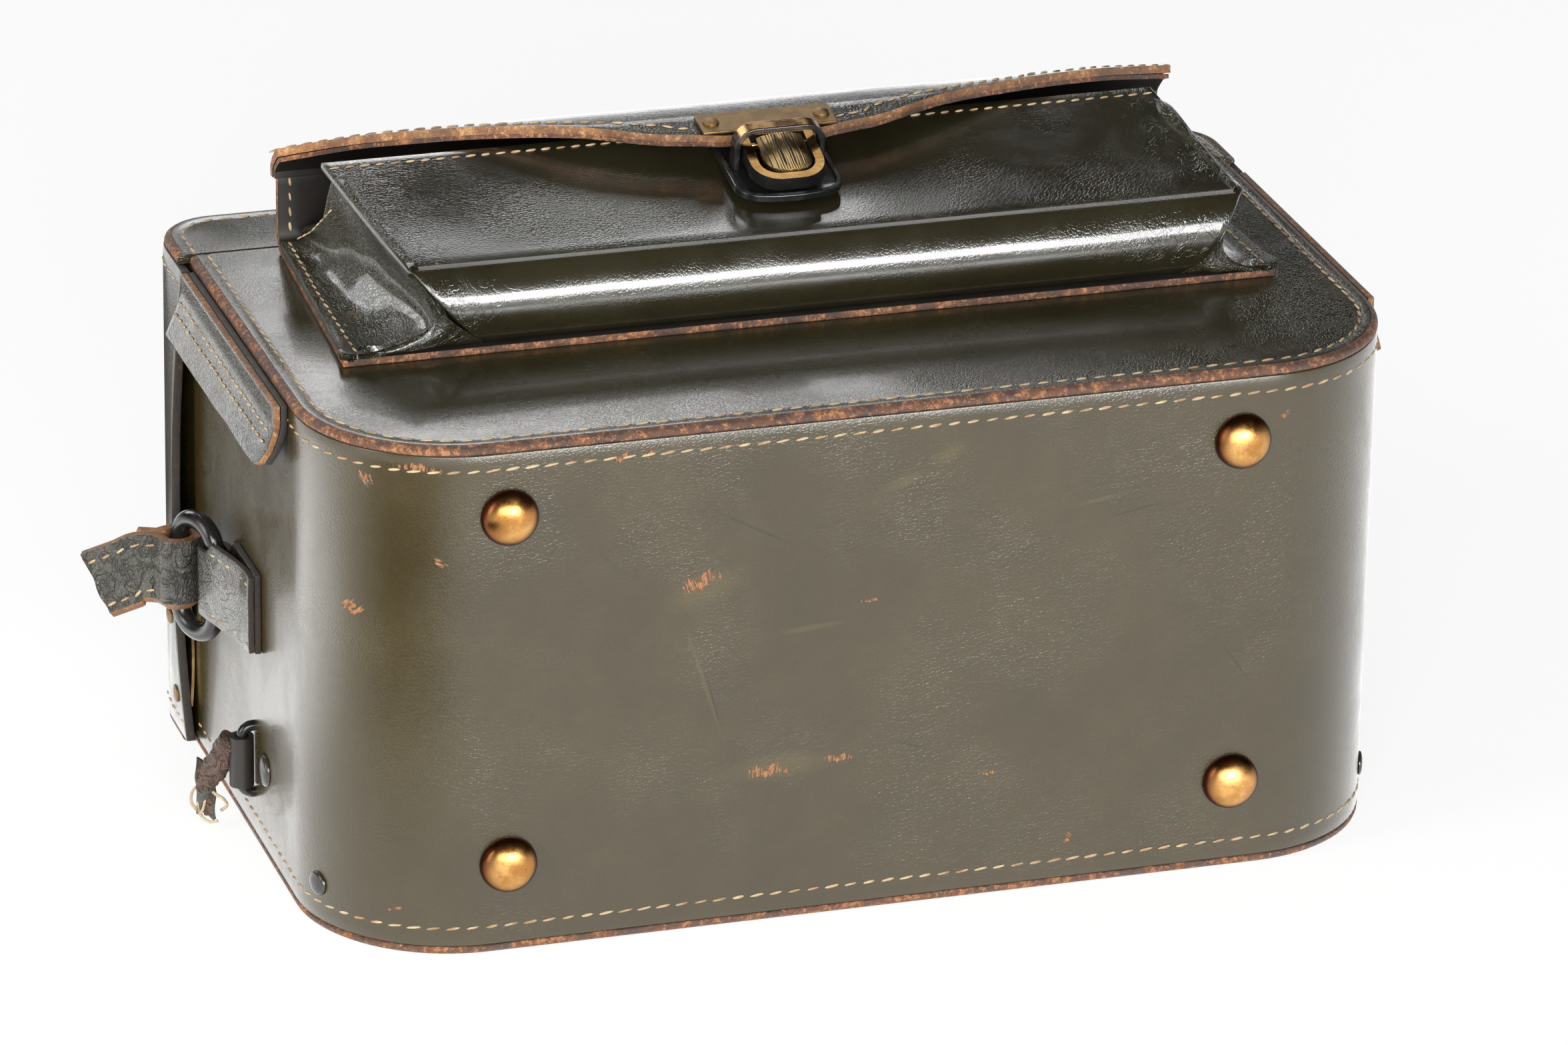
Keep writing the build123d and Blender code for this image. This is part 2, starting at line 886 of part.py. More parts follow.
def folded_corner(crease, fold, heel, lines):
    # the corner between the lower front and the gusset, drawn in to the fold
    y, foot, back_fold, top = lines[0]
    share = (pocket_bulge_height - pocket_leather) / (pocket_crease_height - pocket_leather)
    ridge_x = heel + share * (crease - heel)
    front = [
        (heel, pocket_front_low, on_front(pocket_leather)),
        (foot[0], pocket_low, on_front(pocket_leather)),
        (fold, gusset_fold_y, on_front(gusset_fold_height)),
        (crease, pocket_crease_y, on_front(pocket_crease_height)),
        (ridge_x, pocket_front_low - pocket_bulge, on_front(pocket_bulge_height)),
    ]
    back = [
        (heel + pocket_leather, y, on_front(pocket_leather)),
        (foot[0], y, on_front(pocket_leather)),
        (back_fold[0], y, on_front(back_fold[1])),
        (top[0], y, on_front(top[1])),
        (ridge_x + pocket_leather, y, on_front(pocket_bulge_height)),
    ]
    heel_corner, foot_corner, fold_corner, crease_corner, bulge_corner = front
    cap = [
        flat_face(heel_corner, foot_corner, fold_corner),
        flat_face(heel_corner, fold_corner, bulge_corner),
        flat_face(bulge_corner, fold_corner, crease_corner),
    ]
    return faceted([front, back], cap)


def make_gusset(mouth, crease, fold, heel, pocket_front, pocket_back):
    # drawn on the right end and cut piece by piece where it meets the pocket's two walls
    lines = gusset_lines(mouth, crease, fold)
    rings = [gusset_ring(*line) for line in lines]
    wall = faceted(rings, [flat_face(*rings[0])])
    flange_low = on_front(pocket_leather)
    flange = make_face(
        Polyline(
            (gusset_foot_low, pocket_low),
            (pocket_flange_low_half, pocket_low),
            (pocket_flange_root_half + flange_clearance, gusset_end_y),
            (gusset_foot_high, gusset_end_y),
            close=True,
        )
    )
    strip = front_to_back(flange, flange_low, flange_low + pocket_leather)
    pieces = [wall, folded_corner(crease, fold, heel, lines), strip]
    return Part() + [piece - pocket_front - pocket_back for piece in pieces]


# Pocket flap
def flap_lines():
    tip = (flap_edge_y, on_front(flap_edge_height))
    seat = (flap_seat_y, on_front(flap_seat_height))
    crown = (flap_crown_y, on_front(flap_crown_height))
    shoulder = (flap_shoulder_y, on_front(flap_shoulder_height))
    fold_height = pocket_wall_top + flap_fold_gap
    drop = Polyline(
        shoulder,
        (pocket_root, on_front(fold_height + flap_fold_drop)),
        (pocket_root, on_front(fold_height)),
    )
    arch = ThreePointArc(seat, crown, shoulder)
    return [*Line(tip, seat).edges(), *arch.edges(), *drop.edges()]


def flap_plan():
    corner = pocket_root + leather
    outline = make_face(
        Polyline(
            (-flap_half, corner),
            (-flap_half, flap_side_y),
            (lock_x - flap_tongue_half, flap_edge_y),
            (lock_x + flap_tongue_half, flap_edge_y),
            (flap_half, flap_side_y - 4),
            (flap_half, corner),
            close=True,
        )
    )
    tongue = outline.vertices().group_by(Axis.Y)[0]
    rounded = fillet(tongue, flap_tongue_round)
    return front_to_back(rounded, case_depth, 2 * case_depth)


def make_flap_layer(outset, thickness, shanks):
    lines = flap_lines()
    section = ribbon(lines, outset + thickness, Side.RIGHT)
    if outset:
        section -= ribbon(lines, outset, Side.RIGHT)
    layer = across(section, -flap_half, flap_half) & flap_plan()
    for shank in shanks:
        layer -= shank
    return layer


# Tuck lock
def lock_plane():
    # lies on the pocket's front below the lock, with local y up the slope
    run = lock_y - pocket_crease_y
    slope = math.radians(pocket_slope())
    z = on_front(pocket_crease_height + run * math.tan(slope))
    return Plane(
        origin=(lock_x, lock_y, z), x_dir=(1, 0, 0), z_dir=(0, -math.sin(slope), math.cos(slope))
    )


def make_base_plate():
    half = base_width / 2
    outline = make_face(
        [
            *Polyline(
                (-half, -base_near), (-half, base_far), (half, base_far), (half, -base_near)
            ).edges(),
            *ThreePointArc(
                (half, -base_near), (0, -base_near - base_bulge), (-half, -base_near)
            ).edges(),
        ]
    )
    near = outline.vertices().group_by(Axis.Y)[0]
    outline = fillet(near, base_corner)
    inside = offset(outline, amount=-base_rim_width)
    plate = extrude(outline, amount=base_plate + base_rim)
    plate -= Pos(0, 0, base_plate) * extrude(inside, amount=base_rim)
    return lock_plane() * plate


def make_arch():
    half = arch_outer / 2
    outer = panel_outline(half, 0, arch_height, arch_bend, -1)
    inner_top = arch_height - arch_band
    inner = panel_outline(half - arch_band, -1, inner_top, arch_bend - arch_band, -1)
    band = outer - inner
    upright = Plane(origin=(0, 0, base_plate), x_dir=(1, 0, 0), z_dir=(0, -1, 0))
    solid = extrude(upright * band, amount=arch_depth / 2, both=True)
    return lock_plane() * solid


def tongue_plane():
    tilt = math.radians(tongue_tilt)
    return Plane(
        origin=(lock_x, lock_y, on_front(tongue_height)),
        x_dir=(1, 0, 0),
        z_dir=(0, -math.sin(tilt), math.cos(tilt)),
    )


def tongue_outline(inset, near, far):
    half = tongue_width / 2 - inset
    return panel_outline(half, -near, far, tongue_corner - inset, 0)


def make_tongue(others):
    bottom = -tongue_thickness / 2
    outline = tongue_outline(0, tongue_near, tongue_far)
    form = Pos(0, 0, bottom) * extrude(outline, amount=tongue_thickness)
    inside = tongue_outline(tongue_frame, tongue_near - tongue_frame, tongue_far - tongue_frame)
    form -= Pos(0, 0, bottom + tongue_floor) * extrude(inside, amount=tongue_thickness)
    form = chamfer(form.faces().sort_by(Axis.Z)[0].outer_wire().edges(), tongue_chamfer)
    form -= lever_pin_form()
    solid = tongue_plane() * form
    for other in others:
        solid -= other
    return solid


def lever_pin_form():
    pin = Cylinder(lever_pin_radius, tongue_width - 2 * lever_pin_inset)
    return Pos(0, lever_pin_v, 0) * Rot(0, 90, 0) * pin


def make_lever_pin():
    return tongue_plane() * lever_pin_form()


def make_lever():
    near = tongue_near - tongue_frame - lever_near_clearance
    half = lever_width / 2
    outline = Pos(lever_shift, 0) * panel_outline(half, -near, lever_far, lever_corner, 0)
    slab = Pos(0, 0, lever_bottom) * extrude(outline, amount=lever_top - lever_bottom)
    crown_height = lever_top - lever_crown_radius
    crown = Pos(lever_shift, 0, crown_height) * Rot(90, 0, 0) * Cylinder(
        lever_crown_radius, 4 * tongue_near
    )
    slab &= crown
    first = lever_shift - lever_rib_pitch * (lever_ribs - 1) / 2
    for rib in range(lever_ribs):
        x = first + rib * lever_rib_pitch
        drop = lever_crown_radius - math.sqrt(lever_crown_radius**2 - (x - lever_shift) ** 2)
        top = lever_top - drop
        slab -= Pos(x, 0, top) * Box(lever_rib_width, 4 * tongue_near, 2 * lever_rib_depth)
    eye = Pos(lever_shift, lever_pin_v, 0) * Rot(0, 90, 0) * Cylinder(
        lever_eye_radius, lever_width
    )
    slab += eye
    bore = Pos(0, lever_pin_v, 0) * Rot(0, 90, 0) * Cylinder(
        lever_pin_radius + lever_pin_clearance, 2 * tongue_width
    )
    return tongue_plane() * (slab - bore)


def mount_plane():
    rise = flap_seat_height - flap_edge_height
    slope = math.atan2(rise, flap_seat_y - flap_edge_y)
    return Plane(
        origin=(lock_x, flap_edge_y, on_front(flap_edge_height)),
        x_dir=(1, 0, 0),
        z_dir=(0, -math.sin(slope), math.cos(slope)),
    )


def make_mount_plate(shanks):
    length = mount_length + mount_overhang
    middle = mount_length / 2 - mount_overhang / 2
    wide = Pos(0, mount_length / 2 + 0.2) * Rectangle(mount_width, mount_length)
    neck = Pos(0, middle) * Rectangle(tongue_width, length)
    outline = fillet((wide + neck).vertices().group_by(Axis.Y)[-1], edge_round)
    plate = mount_plane() * extrude(outline, amount=mount_thickness)
    for shank in shanks:
        plate -= shank
    return plate


def mount_rivet_places():
    plane = mount_plane()
    lift = Pos(0, mount_length / 2, mount_thickness)
    return {
        "left": plane * Pos(-mount_rivet_spread, 0, 0) * lift,
        "right": plane * Pos(mount_rivet_spread, 0, 0) * lift,
    }


# Assembly
def build_nodes():
    nodes = {}
    feet = {name: make_foot(x, z) for name, (x, z) in foot_places().items()}
    foot_drill = [
        rivet_hole(Pos(x, 0, z) * Rot(90, 0, 0), foot_shank_radius)
        for x, z in foot_places().values()
    ]
    wall_drills = [
        rivet_hole(wall_rivet_place(), wall_rivet_shank),
        rivet_hole(corner_rivet_place(), wall_rivet_shank),
    ]
    left_staple = make_staple()
    wall_drills.append(left_staple)
    wall_drills += [mirrored(drill) for drill in wall_drills]

    nodes["body_wrap"] = make_body_wrap(foot_drill + wall_drills)
    nodes["front_panel"] = make_panel(front_inside, case_depth, -1)
    nodes["back_panel"] = make_panel(0, leather, 0)
    nodes["base_board"] = make_base_board(foot_drill)
    nodes["front_board"] = make_front_board()
    nodes["back_board"] = make_back_board()
    nodes["lining"] = make_lining()
    nodes["divider_left"] = make_divider(divider_left_x)
    nodes["divider_right"] = make_divider(divider_right_x)
    nodes.update(feet)

    wall_rivet = wall_rivet_place() * make_rivet(
        wall_rivet_radius, wall_rivet_height, wall_rivet_shank, leather
    )
    corner_rivet = corner_rivet_place() * make_rivet(
        corner_rivet_radius, corner_rivet_height, wall_rivet_shank, leather
    )
    pocket_front = make_pocket_front()
    pocket_back = make_pocket_back()
    left_fittings = {
        "side_flap": make_side_flap(),
        "chape": make_chape(),
        "ring": make_ring(),
        "staple": left_staple,
        "wall_rivet": wall_rivet,
        "corner_rivet": corner_rivet,
        "catch": make_catch(),
    }
    catch_places = catch_rivet_places()
    for name, place in catch_places.items():
        left_fittings[f"catch_rivet_{name}"] = place * make_rivet(
            catch_rivet_radius, catch_rivet_height, catch_rivet_shank, leather
        )
    sides = ["left", "right"]
    for name, solid in left_fittings.items():
        nodes[f"{name}_left"] = solid
        nodes[f"{name}_right"] = mirrored(solid)
    nodes["strap_end_left"] = make_strap_end()
    nodes["torn_loop_left"] = make_torn_loop()

    catch_drills = [rivet_hole(place, catch_rivet_shank) for place in catch_places.values()]
    catch_drills += [mirrored(drill) for drill in catch_drills]
    catch_rivets = [nodes[f"catch_rivet_{name}_{side}"] for name in catch_places for side in sides]
    nodes["lid_wrap"] = make_lid_wrap(catch_drills + catch_rivets)
    nodes["lid_apron"] = make_lid_apron(front_inside, case_depth, -1)
    nodes["lid_back"] = make_lid_apron(0, leather, 0)
    nodes["lid_lining"] = make_lid_lining()

    nodes["pocket_back"] = pocket_back
    right_end = (pocket_mouth_right, pocket_crease_right, pocket_fold_right, pocket_heel_right)
    left_end = (pocket_mouth_left, pocket_crease_left, pocket_fold_left, pocket_heel_left)
    left_gusset = make_gusset(*left_end, mirrored(pocket_front), mirrored(pocket_back))
    nodes["pocket_gusset_left"] = mirrored(left_gusset)
    nodes["pocket_gusset_right"] = make_gusset(*right_end, pocket_front, pocket_back)
    nodes["pocket_front"] = pocket_front
    rivet_places = mount_rivet_places()
    reach = 4 * flap_leather
    drill = peg(mount_rivet_shank, -reach, reach, shank_sides)
    flap_drills = [place * drill for place in rivet_places.values()]
    nodes["pocket_flap"] = make_flap_layer(0, flap_leather, flap_drills)
    nodes["flap_lining"] = make_flap_layer(flap_leather, flap_lining_thickness, flap_drills)
    nodes["clasp_base_plate"] = make_base_plate()
    nodes["clasp_arch"] = make_arch()
    nodes["clasp_mount_plate"] = make_mount_plate(flap_drills)
    shank_length = mount_thickness + flap_leather + flap_lining_thickness + mount_rivet_tail
    for name, place in rivet_places.items():
        nodes[f"clasp_rivet_{name}"] = place * make_rivet(
            mount_rivet_radius, mount_rivet_height, mount_rivet_shank, shank_length
        )
    nodes["clasp_tongue"] = make_tongue(
        [nodes["clasp_mount_plate"], nodes["pocket_flap"], nodes["flap_lining"]]
    )
    nodes["lever_pin"] = make_lever_pin()
    nodes["thumb_lever"] = make_lever()
    return nodes


def main():
    os.makedirs("parts", exist_ok=True)
    to_origin = Pos(0, -case_height / 2, 0)
    for name, solid in build_nodes().items():
        part = to_origin * Part(solid.solids())
        export_step(part, f"parts/{name}.step")
        print(f"{name}: {len(part.solids())} solid, {part.volume / 1000:.2f} cm3")


main()
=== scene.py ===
import math

import bmesh
import bpy
from mathutils import Matrix, Vector, noise
from mathutils.bvhtree import BVHTree


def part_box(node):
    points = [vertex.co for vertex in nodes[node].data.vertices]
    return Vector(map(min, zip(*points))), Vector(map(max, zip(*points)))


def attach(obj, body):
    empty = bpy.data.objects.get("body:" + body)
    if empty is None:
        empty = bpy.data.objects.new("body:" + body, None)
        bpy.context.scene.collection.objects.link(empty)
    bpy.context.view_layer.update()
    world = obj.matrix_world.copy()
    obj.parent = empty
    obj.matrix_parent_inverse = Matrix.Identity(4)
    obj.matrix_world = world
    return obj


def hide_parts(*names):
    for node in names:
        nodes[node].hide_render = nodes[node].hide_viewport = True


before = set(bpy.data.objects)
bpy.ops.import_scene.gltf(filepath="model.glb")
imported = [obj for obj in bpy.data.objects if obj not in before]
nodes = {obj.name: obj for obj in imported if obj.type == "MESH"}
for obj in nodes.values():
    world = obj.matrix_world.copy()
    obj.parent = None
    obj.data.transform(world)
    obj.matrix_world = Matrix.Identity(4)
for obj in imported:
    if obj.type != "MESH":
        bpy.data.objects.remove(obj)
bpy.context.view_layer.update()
print("frame loaded")

# The case is described in millimetres from its bottom face up, as its maker would measure it,
# and the frame's own origin lies half its height up.
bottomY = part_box("body_wrap")[0].y * 1000
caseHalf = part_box("front_panel")[1].x * 1000
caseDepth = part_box("front_panel")[1].z * 1000
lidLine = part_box("front_panel")[1].y * 1000 - bottomY
cornerRadius = 42.0
hide = 2.6  # leather thickness of the case


def at(x, y, z):
    return Vector((x / 1000, (y + bottomY) / 1000, z / 1000))


# Camera, floor and lights
studio = {
    "turn": -17.738, "tilt": 22.511, "roll": 0.967,  # degrees, from the lines of the photograph
    "distance": 2.3567, "slide": (0.025163, -0.103263),  # metres back and across the view
    "lens": 201.95, "sensor": 36,  # millimetres
    "floorSize": 14.0, "floorTone": 0.9, "floorGlow": 0.74, "glow": 1.14,
    "fill": 0.24,  # what the sky adds to dull surfaces
    # what glossy surfaces see low and high in the sky, and the heights between which it changes
    "horizonShine": 0.95, "skyShine": 0.03, "shineBand": (0.03, 0.24),
    # how bright hide and metal mirror the table, and where it is darker or brighter: x, y, reach
    "tableShine": 2.3,
    "spots": [((-0.36, -0.30, 0.20, 0.20), 0.12), ((-0.36, 0.08, 0.13, 0.13), 4.5),
              ((-0.19, 0.34, 0.14, 0.20), 0.12)],
    "spotEdge": (1.3, 0.5),  # in reaches from its middle: where a spot begins and where it is full
}


def buildCamera():
    a, e, r = (math.radians(studio[k]) for k in ("turn", "tilt", "roll"))
    back = Vector((math.sin(a) * math.cos(e), -math.cos(a) * math.cos(e), math.sin(e)))
    right = Vector((0, 0, 1)).cross(back).normalized()
    up = back.cross(right)
    rolledRight = math.cos(r) * right + math.sin(r) * up
    rolledUp = math.cos(r) * up - math.sin(r) * right
    slideX, slideY = studio["slide"]
    place = back * studio["distance"] - rolledRight * slideX - rolledUp * slideY
    place += at(0, 0, 0)
    data = bpy.data.cameras.new("photoCamera")
    data.sensor_width = studio["sensor"]
    data.lens = studio["lens"]
    data.clip_end = 50
    camera = bpy.data.objects.new("photoCamera", data)
    camera.matrix_world = Matrix((
        (rolledRight.x, rolledUp.x, back.x, place.x),
        (rolledRight.y, rolledUp.y, back.y, place.y),
        (rolledRight.z, rolledUp.z, back.z, place.z),
        (0, 0, 0, 1),
    ))
    bpy.context.scene.collection.objects.link(camera)
    bpy.context.scene.camera = camera


def link(tree, out, into):
    tree.links.new(out, into)


def newNode(tree, kind, **settings):
    item = tree.nodes.new(kind)
    for key, value in settings.items():
        setattr(item, key, value)
    return item


def mixNumber(tree, factor, a, b):
    item = newNode(tree, "ShaderNodeMix", data_type="FLOAT")
    for label, value in (("Factor", factor), ("A", a), ("B", b)):
        if isinstance(value, (int, float)):
            item.inputs[label].default_value = value
        else:
            link(tree, value, item.inputs[label])
    return item.outputs["Result"]


def vectorNode(tree, operation, a, b=None):
    item = newNode(tree, "ShaderNodeVectorMath", operation=operation)
    for socket, value in zip(item.inputs, (a, b)):
        if isinstance(value, tuple):
            socket.default_value = value
        elif value is not None:
            link(tree, value, socket)
    return item


def rangeNode(tree, value, low, high, toLow=0.0, toHigh=1.0):
    item = newNode(tree, "ShaderNodeMapRange", interpolation_type="SMOOTHSTEP")
    for label, number in (("From Min", low), ("From Max", high), ("To Min", toLow), ("To Max", toHigh)):
        item.inputs[label].default_value = number
    link(tree, value, item.inputs["Value"])
    return item.outputs[0]


def buildWorld():
    world = bpy.data.worlds.new("studio")
    bpy.context.scene.world = world
    world.use_nodes = True
    tree = world.node_tree
    tree.nodes.clear()
    direction = newNode(tree, "ShaderNodeTexCoord")
    split = newNode(tree, "ShaderNodeSeparateXYZ")
    link(tree, direction.outputs["Generated"], split.inputs[0])
    shine = rangeNode(tree, split.outputs["Z"], *studio["shineBand"], studio["horizonShine"],
                      studio["skyShine"])
    path = newNode(tree, "ShaderNodeLightPath")
    seen = mixNumber(tree, path.outputs["Is Glossy Ray"], studio["fill"], shine)
    strength = mixNumber(tree, path.outputs["Is Camera Ray"], seen, 1.0)
    sky = newNode(tree, "ShaderNodeBackground")
    sky.inputs["Color"].default_value = (1, 1, 1, 1)
    link(tree, strength, sky.inputs["Strength"])
    out = newNode(tree, "ShaderNodeOutputWorld")
    link(tree, sky.outputs[0], out.inputs[0])


def buildFloor():
    half = studio["floorSize"] / 2
    mesh = bpy.data.meshes.new("floor")
    mesh.from_pydata([(-half, -half, 0), (half, -half, 0), (half, half, 0), (-half, half, 0)],
                     [], [(0, 1, 2, 3)])
    floor = bpy.data.objects.new("floor", mesh)
    bpy.context.scene.collection.objects.link(floor)
    material = bpy.data.materials.new("floorPaper")
    material.use_nodes = True
    tree = material.node_tree
    tree.nodes.clear()
    paper = newNode(tree, "ShaderNodeBsdfDiffuse")
    tone = studio["floorTone"]
    paper.inputs["Color"].default_value = (tone, tone, tone, 1)
    glow = newNode(tree, "ShaderNodeEmission")
    glow.inputs["Strength"].default_value = studio["glow"]
    path = newNode(tree, "ShaderNodeLightPath")
    white = newNode(tree, "ShaderNodeMixShader")
    link(tree, mixNumber(tree, path.outputs["Is Camera Ray"], 0.0, studio["floorGlow"]), white.inputs[0])
    link(tree, paper.outputs[0], white.inputs[1])
    link(tree, glow.outputs[0], white.inputs[2])
    # glossy hide mirrors a table that is brightest to the left of the case
    where = newNode(tree, "ShaderNodeTexCoord").outputs["Object"]
    shine = studio["tableShine"]
    for (x, y, reachX, reachY), level in studio["spots"]:
        move = newNode(tree, "ShaderNodeMapping")
        move.inputs["Scale"].default_value = (1 / reachX, 1 / reachY, 1)
        move.inputs["Location"].default_value = (-x / reachX, -y / reachY, 0)
        link(tree, where, move.inputs["Vector"])
        distance = vectorNode(tree, "LENGTH", move.outputs[0]).outputs["Value"]
        near = rangeNode(tree, distance, *studio["spotEdge"])
        shine = mixNumber(tree, near, shine, level)
    mirrored = newNode(tree, "ShaderNodeEmission")
    link(tree, shine, mirrored.inputs["Strength"])
    mix = newNode(tree, "ShaderNodeMixShader")
    link(tree, path.outputs["Is Glossy Ray"], mix.inputs[0])
    link(tree, white.outputs[0], mix.inputs[1])
    link(tree, mirrored.outputs[0], mix.inputs[2])
    out = newNode(tree, "ShaderNodeOutputMaterial")
    link(tree, mix.outputs[0], out.inputs[0])
    mesh.materials.append(material)


softboxes = {
    "frontBox": {"place": (-0.6, -2.4, 0.8), "size": (1.5, 0.9), "power": 62},
    "leftBox": {"place": (-2.1, -0.6, 0.9), "size": (0.8, 1.2), "power": 26},
    "topBox": {"place": (0.3, 0.9, 2.3), "size": (1.8, 0.8), "power": 16, "shineOnly": True},
    "beltStrip": {"place": (0.42, -2.0, 0.46), "size": (0.9, 0.45), "power": 52, "shineOnly": True},
    "slopeBox": {"place": (0.36, 1.7, 1.15), "size": (0.55, 0.5), "power": 5.5, "shineOnly": True},
    "endBox": {"place": (-0.78, 1.5, 1.15), "size": (0.7, 0.8), "power": 13, "shineOnly": True},
}


def buildLights():
    for name, box in softboxes.items():
        data = bpy.data.lights.new(name, "AREA")
        data.shape = "RECTANGLE"
        data.size, data.size_y = box["size"]
        data.energy = box["power"]
        lamp = bpy.data.objects.new(name, data)
        place = Vector(box["place"])
        aim = Vector((0, 0, 0.08)) - place
        lamp.rotation_euler = aim.to_track_quat("-Z", "Y").to_euler()
        lamp.location = place
        lamp.visible_diffuse = not box.get("shineOnly", False)
        bpy.context.scene.collection.objects.link(lamp)


bpy.context.scene.view_settings.view_transform = "Standard"
buildCamera()
buildWorld()
buildFloor()
buildLights()
print("studio set up")


# Shared shader groups
def socketed(name, inputs, outputs):
    tree = bpy.data.node_groups.new(name, "ShaderNodeTree")
    for label, kind, value in inputs:
        socket = tree.interface.new_socket(label, in_out="INPUT", socket_type=kind)
        if value is not None:
            socket.default_value = value
    for label, kind in outputs:
        tree.interface.new_socket(label, in_out="OUTPUT", socket_type=kind)
    return tree, newNode(tree, "NodeGroupInput"), newNode(tree, "NodeGroupOutput")


def mathNode(tree, operation, a, b=None, clamp=False):
    item = newNode(tree, "ShaderNodeMath", operation=operation, use_clamp=clamp)
    for socket, value in zip(item.inputs, (a, b)):
        if isinstance(value, (int, float)):
            socket.default_value = value
        elif value is not None:
            link(tree, value, socket)
    return item.outputs[0]


def noiseNode(tree, vector, scale, detail=3.0, rough=0.55, distortion=0.0):
    item = newNode(tree, "ShaderNodeTexNoise")
    for label, value in (("Scale", scale), ("Detail", detail), ("Roughness", rough),
                         ("Distortion", distortion)):
        item.inputs[label].default_value = value
    link(tree, vector, item.inputs["Vector"])
    return item.outputs["Fac"]


def mixColour(tree, factor, a, b):
    item = newNode(tree, "ShaderNodeMix", data_type="RGBA")
    for label, value in (("Factor", factor), ("A", a), ("B", b)):
        socket = next(s for s in item.inputs if s.name == label and s.enabled)
        if isinstance(value, tuple):
            socket.default_value = (*value, 1)
        elif isinstance(value, (int, float)):
            socket.default_value = value
        else:
            link(tree, value, socket)
    return next(s for s in item.outputs if s.enabled)


def stretched(tree, vector, scale):
    item = newNode(tree, "ShaderNodeMapping")
    item.inputs["Scale"].default_value = scale
    link(tree, vector, item.inputs["Vector"])
    return item.outputs[0]


def buildGrain():
    # pebble of the hide, fine pores and slack creases as one height, with its cloudy tone
    tree, given, result = socketed(
        "hideGrain",
        [("Vector", "NodeSocketVector", None), ("Pebble", "NodeSocketFloat", 1.0),
         ("Crease", "NodeSocketFloat", 0.0)],
        [("Height", "NodeSocketFloat"), ("Mottle", "NodeSocketFloat"), ("Smudge", "NodeSocketFloat")],
    )
    vector = given.outputs["Vector"]
    cells = newNode(tree, "ShaderNodeTexVoronoi", feature="DISTANCE_TO_EDGE")
    cells.inputs["Scale"].default_value = 900
    wobble = newNode(tree, "ShaderNodeTexNoise")
    wobble.inputs["Scale"].default_value = 420
    link(tree, vector, wobble.inputs["Vector"])
    small = newNode(tree, "ShaderNodeVectorMath", operation="SCALE")
    small.inputs["Scale"].default_value = 0.0012
    link(tree, wobble.outputs["Color"], small.inputs[0])
    link(tree, vectorNode(tree, "ADD", vector, small.outputs[0]).outputs[0], cells.inputs["Vector"])
    pebble = rangeNode(tree, cells.outputs["Distance"], 0.0, 0.2)
    patch = rangeNode(tree, noiseNode(tree, vector, 26, 2), 0.35, 0.65, 0.25, 1.0)
    pebble = mathNode(tree, "MULTIPLY", mathNode(tree, "MULTIPLY", pebble, patch), given.outputs["Pebble"])
    pores = mathNode(tree, "MULTIPLY", noiseNode(tree, vector, 2600, 2), 0.3)
    slack = noiseNode(tree, stretched(tree, vector, (1.0, 0.5, 0.8)), 210, 3, 0.6, 1.2)
    fold = mathNode(tree, "ABSOLUTE", mathNode(tree, "SUBTRACT", slack, 0.5))
    crease = mathNode(tree, "MULTIPLY", rangeNode(tree, fold, 0.0, 0.05), given.outputs["Crease"])
    crease = mathNode(tree, "MULTIPLY", crease, 3.5)
    swell = mathNode(tree, "MULTIPLY", noiseNode(tree, vector, 16, 2), 1.6)
    total = mathNode(tree, "ADD", mathNode(tree, "ADD", pebble, pores),
                     mathNode(tree, "ADD", crease, swell))
    link(tree, total, result.inputs["Height"])
    link(tree, rangeNode(tree, noiseNode(tree, vector, 24, 5, 0.65), 0.32, 0.68), result.inputs["Mottle"])
    link(tree, rangeNode(tree, noiseNode(tree, vector, 55, 6, 0.7, 0.6), 0.4, 0.7), result.inputs["Smudge"])
    return tree


def buildFlecks():
    # where the finish has flaked off: rare specks, and more of them along worn edges
    tree, given, result = socketed(
        "bareFlecks",
        [("Vector", "NodeSocketVector", None), ("Amount", "NodeSocketFloat", 0.5),
         ("Wear", "NodeSocketFloat", 0.0)],
        [("Mask", "NodeSocketFloat")],
    )
    vector = given.outputs["Vector"]
    fleck = noiseNode(tree, stretched(tree, vector, (1.0, 1.0, 0.5)), 650, 4, 0.75)
    place = rangeNode(tree, noiseNode(tree, vector, 34, 3, 0.6), 0.66, 0.78)
    rare = mathNode(tree, "MULTIPLY", place, given.outputs["Amount"])
    uneven = rangeNode(tree, noiseNode(tree, vector, 70, 3, 0.6), 0.38, 0.62)
    along = mathNode(tree, "MULTIPLY", given.outputs["Wear"], uneven)
    worn = mathNode(tree, "ADD", mathNode(tree, "MULTIPLY", rare, 0.45), along, clamp=True)
    limit = mathNode(tree, "SUBTRACT", 0.80, mathNode(tree, "MULTIPLY", worn, 0.42))
    mask = mathNode(tree, "MULTIPLY", mathNode(tree, "SUBTRACT", fleck, limit), 14, clamp=True)
    link(tree, mask, result.inputs["Mask"])
    return tree


